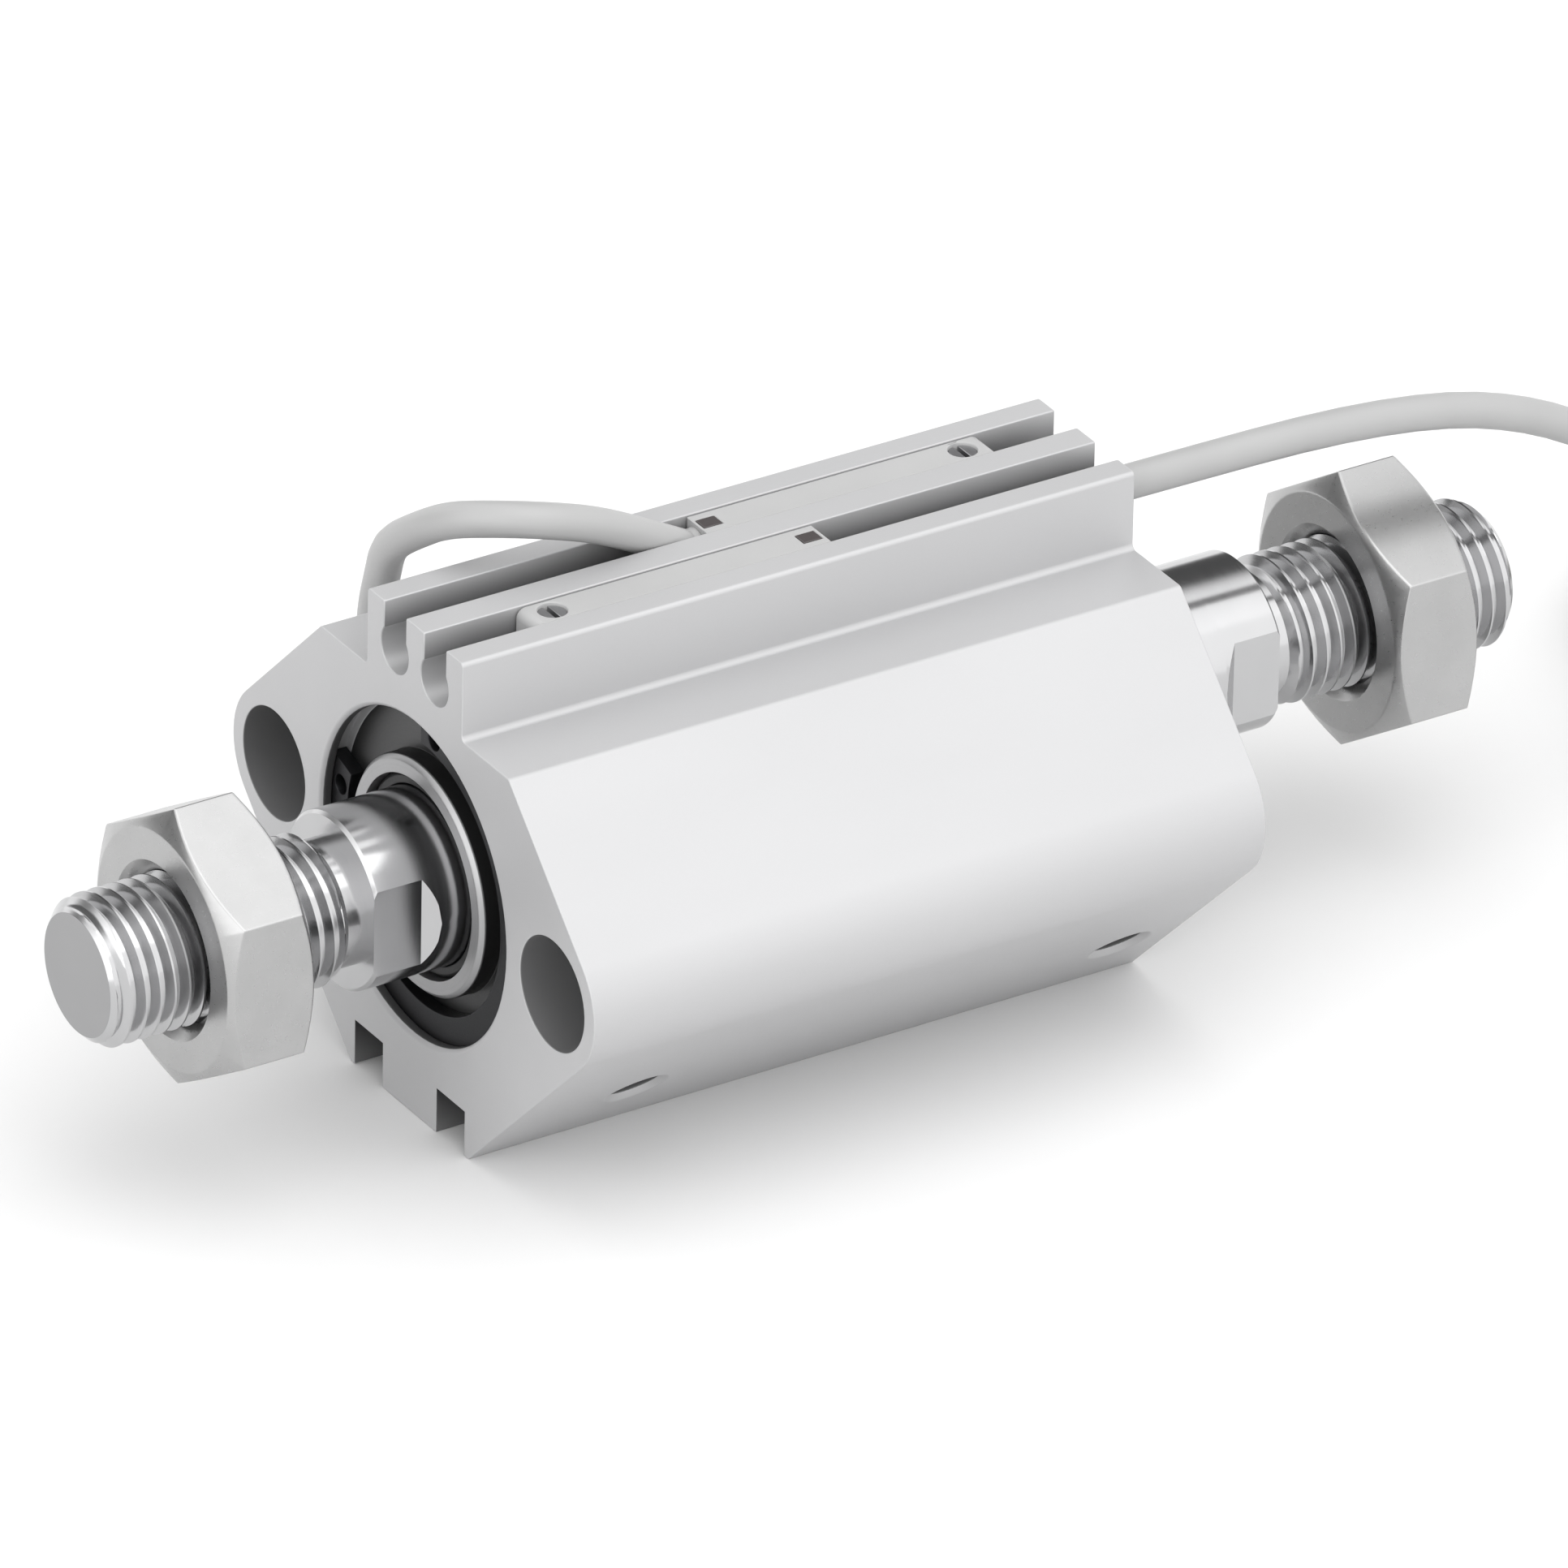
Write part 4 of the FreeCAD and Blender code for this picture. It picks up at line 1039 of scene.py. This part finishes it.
class CYLINDER_OT_switches(bpy.types.Operator):
    """Dress the switches with their screws and lamp windows"""
    bl_idname = "cylinder.switches"
    bl_label = "Switches"

    def execute(self, context):
        edge = context.scene.cylinder_sizes.small_edge
        colours = context.scene.cylinder_colours
        housing = moulded("polyester, moulded", colours.switch, roughness=0.45, size=0.12, depth=0.003)
        jacket = moulded("vinyl, moulded on", colours.lead, roughness=0.42, size=0.2, depth=0.002)
        steel = turned_metal("stainless steel, turned", srgb("A4A4A6"), roughness=0.28)
        window = moulded("acrylic, smoked", srgb("4A4646"), roughness=0.16, size=0.5, depth=0.001)
        for side in SIDES:
            softened(f"{side}_switch_case", edge * 2, housing)
            softened(f"{side}_switch_screw", edge, steel)
            softened(f"{side}_switch_lens", edge, window)
            softened(f"{side}_lead_grommet", edge, jacket)
        return {"FINISHED"}


class CYLINDER_OT_leads(bpy.types.Operator):
    """Lay the switch leads with their ties and bare cores"""
    bl_idname = "cylinder.leads"
    bl_label = "Leads"

    def execute(self, context):
        sizes = context.scene.cylinder_sizes
        grey = context.scene.cylinder_colours.lead
        jacket = moulded("vinyl, extruded", grey, roughness=0.4, size=0.3, depth=0.002)
        nylon = moulded("nylon, moulded", srgb("C8C6BF"), roughness=0.42, size=0.25, depth=0.003)
        cores = [
            moulded("brown vinyl, extruded", srgb("5B3A25"), roughness=0.38, size=0.3, depth=0.002),
            moulded("blue vinyl, extruded", srgb("2C558C"), roughness=0.38, size=0.3, depth=0.002),
            plated_metal("tinned copper, drawn", srgb("B9B4AC")),
        ]
        strap = strap_tree()
        for side in SIDES:
            cord = lead_cord(side, sizes, jacket)
            finish_piece(cord, "cylinder", f"{side}_lead", f"{side}_lead_coil")
            pieces = [lead_tie(side, strap, nylon), lead_cores(side, cores)]
            round(spline_length(cord), 3)
        return {"FINISHED"}


# The camera: where it stands, its lens and its film in millimetres, its right, down and forward directions,
# and how far it sees in metres
EYE = (-820.46, -1336.40, 895.54)
RIGHT = (0.84835803, -0.52909496, 0.01863248)
DOWN = (-0.24680993, -0.42638383, -0.87021933)
FORWARD = (0.46837325, 0.73365888, -0.49231204)
LENS = 556.7
FILM_WIDTH = 36.0
SIGHT = 10.0
# The floor's width and the soft light above the near side, in metres and watts
FLOOR_SIZE = 3.0
KEY_PLACE = (0.1, -0.35, 1.0)
KEY_TARGET = (0.03, 0.0, 0.0)
KEY_SIZE = 0.9
KEY_POWER = 2.5

# The studio's walls: their level, and screens as middle, degrees to edge and core, and share of that level.
# The tube's upper near face mirrors the first, the second lights the front, thread flanks mirror the third
WORLD_LEVEL = 1.42
SCREENS = (
    ((0.468, -0.492, 0.734), 70.0, 20.0, 1.14),
    ((-0.92, -0.33, 0.2), 52.0, 18.0, 1.7),
    ((-0.70, 0.70, 0.12), 31.0, 20.0, 0.12),
)

# The dark strip behind the cylinder, as parts of a direction's length: along the rods, and from low to high
STRIP_AT = 0.468
STRIP_CORE = 0.09
STRIP_EDGE = 0.2
STRIP_FOOT = (0.06, 0.18)
STRIP_HEAD = (0.72, 0.88)
STRIP_DARK = 0.93


def key_light():
    """A square soft light that looks down at the cylinder."""
    light = bpy.data.lights.new("key", "AREA")
    light.shape = "SQUARE"
    light.size = KEY_SIZE
    light.energy = KEY_POWER
    obj = bpy.data.objects.new("key", light)
    bpy.context.scene.collection.objects.link(obj)
    obj.location = KEY_PLACE
    obj.rotation_euler = (Vector(KEY_TARGET) - Vector(KEY_PLACE)).to_track_quat("-Z", "Y").to_euler()


def floor_plane(height):
    """A pale floor far wider than the view."""
    half = FLOOR_SIZE / 2
    mesh = bpy.data.meshes.new("floor")
    corners = [(-half, -half, height), (half, -half, height), (half, half, height), (-half, half, height)]
    mesh.from_pydata(corners, [], [(0, 1, 2, 3)])
    material, tree, shader, place = start_material("matt white board")
    tint(tree, shader, grain(tree, place, size=40.0), srgb("DCDCDC"), low=0.985, high=1.0)
    shader.inputs["Roughness"].default_value = 0.9
    obj = new_object("floor", mesh, material)


def studio_world():
    """White walls with brighter and darker screens, and a dark strip behind for bands on bright metal."""
    world = bpy.data.worlds.new("studio")
    world.use_nodes = True
    tree = world.node_tree
    way = add(tree, "ShaderNodeTexCoord").outputs["Generated"]
    x, y, z = add(tree, "ShaderNodeSeparateXYZ", {0: way}).outputs
    level = WORLD_LEVEL
    for middle, edge, core, share in SCREENS:
        reach = add(tree, "ShaderNodeVectorMath", {0: way, 1: middle}, operation="DOT_PRODUCT")
        part = add(tree, "ShaderNodeMapRange", {
            "Value": reach.outputs["Value"], "From Min": math.cos(math.radians(edge)),
            "From Max": math.cos(math.radians(core)), "To Min": 1.0, "To Max": share},
            interpolation_type="SMOOTHSTEP").outputs[0]
        level = add(tree, "ShaderNodeMath", {0: level, 1: part}, operation="MULTIPLY").outputs[0]
    off = add(tree, "ShaderNodeMath", {0: x, 1: STRIP_AT}, operation="SUBTRACT").outputs[0]
    off = add(tree, "ShaderNodeMath", {0: off}, operation="ABSOLUTE").outputs[0]
    dark = add(tree, "ShaderNodeMath", {0: y, 1: 0.0}, operation="GREATER_THAN").outputs[0]
    for value, begin, end in (
            (off, STRIP_EDGE, STRIP_CORE), (z, *STRIP_FOOT), (z, STRIP_HEAD[1], STRIP_HEAD[0])):
        share = add(tree, "ShaderNodeMapRange", {"Value": value, "From Min": begin, "From Max": end},
                    interpolation_type="SMOOTHSTEP").outputs[0]
        dark = add(tree, "ShaderNodeMath", {0: dark, 1: share}, operation="MULTIPLY").outputs[0]
    kept = add(tree, "ShaderNodeMath", {0: dark, 1: -STRIP_DARK, 2: 1.0}, operation="MULTIPLY_ADD").outputs[0]
    level = add(tree, "ShaderNodeMath", {0: level, 1: kept}, operation="MULTIPLY").outputs[0]
    tree.links.new(level, tree.nodes["Background"].inputs["Strength"])
    tree.nodes["Background"].inputs["Color"].default_value = srgb("FFFFFF")
    return world


class CYLINDER_OT_stage(bpy.types.Operator):
    """Set the floor, the light and the camera"""
    bl_idname = "cylinder.stage"
    bl_label = "Stage"

    def execute(self, context):
        scene = context.scene
        floor_plane(CAD_BOX[0][2])
        scene.world = studio_world()
        key_light()
        camera = bpy.data.cameras.new("camera")
        camera.lens = LENS
        camera.sensor_width = FILM_WIDTH
        camera.clip_end = SIGHT
        obj = bpy.data.objects.new("camera", camera)
        scene.collection.objects.link(obj)
        axes = Matrix((RIGHT, [-d for d in DOWN], [-f for f in FORWARD])).transposed().to_4x4()
        obj.matrix_world = Matrix.Translation([c * MM for c in EYE]) @ axes
        scene.camera = obj
        scene.view_settings.view_transform = "Standard"
        return {"FINISHED"}


class CYLINDER_PT_panel(bpy.types.Panel):
    """The cylinder's pieces, sizes and colours"""
    bl_idname = "CYLINDER_PT_panel"
    bl_label = "Compact Cylinder"
    bl_space_type = "VIEW_3D"
    bl_region_type = "UI"
    bl_category = "Cylinder"

    def draw(self, context):
        for operator in OPERATORS:
            self.layout.operator(operator.bl_idname)
        for group in (context.scene.cylinder_sizes, context.scene.cylinder_colours):
            box = self.layout.box()
            for name in group.__annotations__:
                box.prop(group, name)


OPERATORS = (
    CYLINDER_OT_tube, CYLINDER_OT_covers, CYLINDER_OT_piston, CYLINDER_OT_rods, CYLINDER_OT_nuts,
    CYLINDER_OT_switches, CYLINDER_OT_leads, CYLINDER_OT_stage,
)
CLASSES = (CylinderSizes, CylinderColours, *OPERATORS, CYLINDER_PT_panel)


def register():
    """Adds the classes, and the sizes and colours that a user may change."""
    for cls in CLASSES:
        bpy.utils.register_class(cls)
    bpy.types.Scene.cylinder_sizes = bpy.props.PointerProperty(type=CylinderSizes)
    bpy.types.Scene.cylinder_colours = bpy.props.PointerProperty(type=CylinderColours)


def unregister():
    """Takes away what register adds."""
    del bpy.types.Scene.cylinder_colours
    del bpy.types.Scene.cylinder_sizes
    for cls in reversed(CLASSES):
        bpy.utils.unregister_class(cls)


def main():
    """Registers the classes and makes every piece."""
    for old in list(bpy.context.scene.objects):
        if old.type in ("LIGHT", "CAMERA"):
            bpy.data.objects.remove(old)
    register()
    bpy.ops.cylinder.tube()
    bpy.ops.cylinder.covers()
    bpy.ops.cylinder.piston()
    bpy.ops.cylinder.rods()
    bpy.ops.cylinder.nuts()
    bpy.ops.cylinder.switches()
    bpy.ops.cylinder.leads()
    bpy.ops.cylinder.stage()


if __name__ == "__main__":
    main()
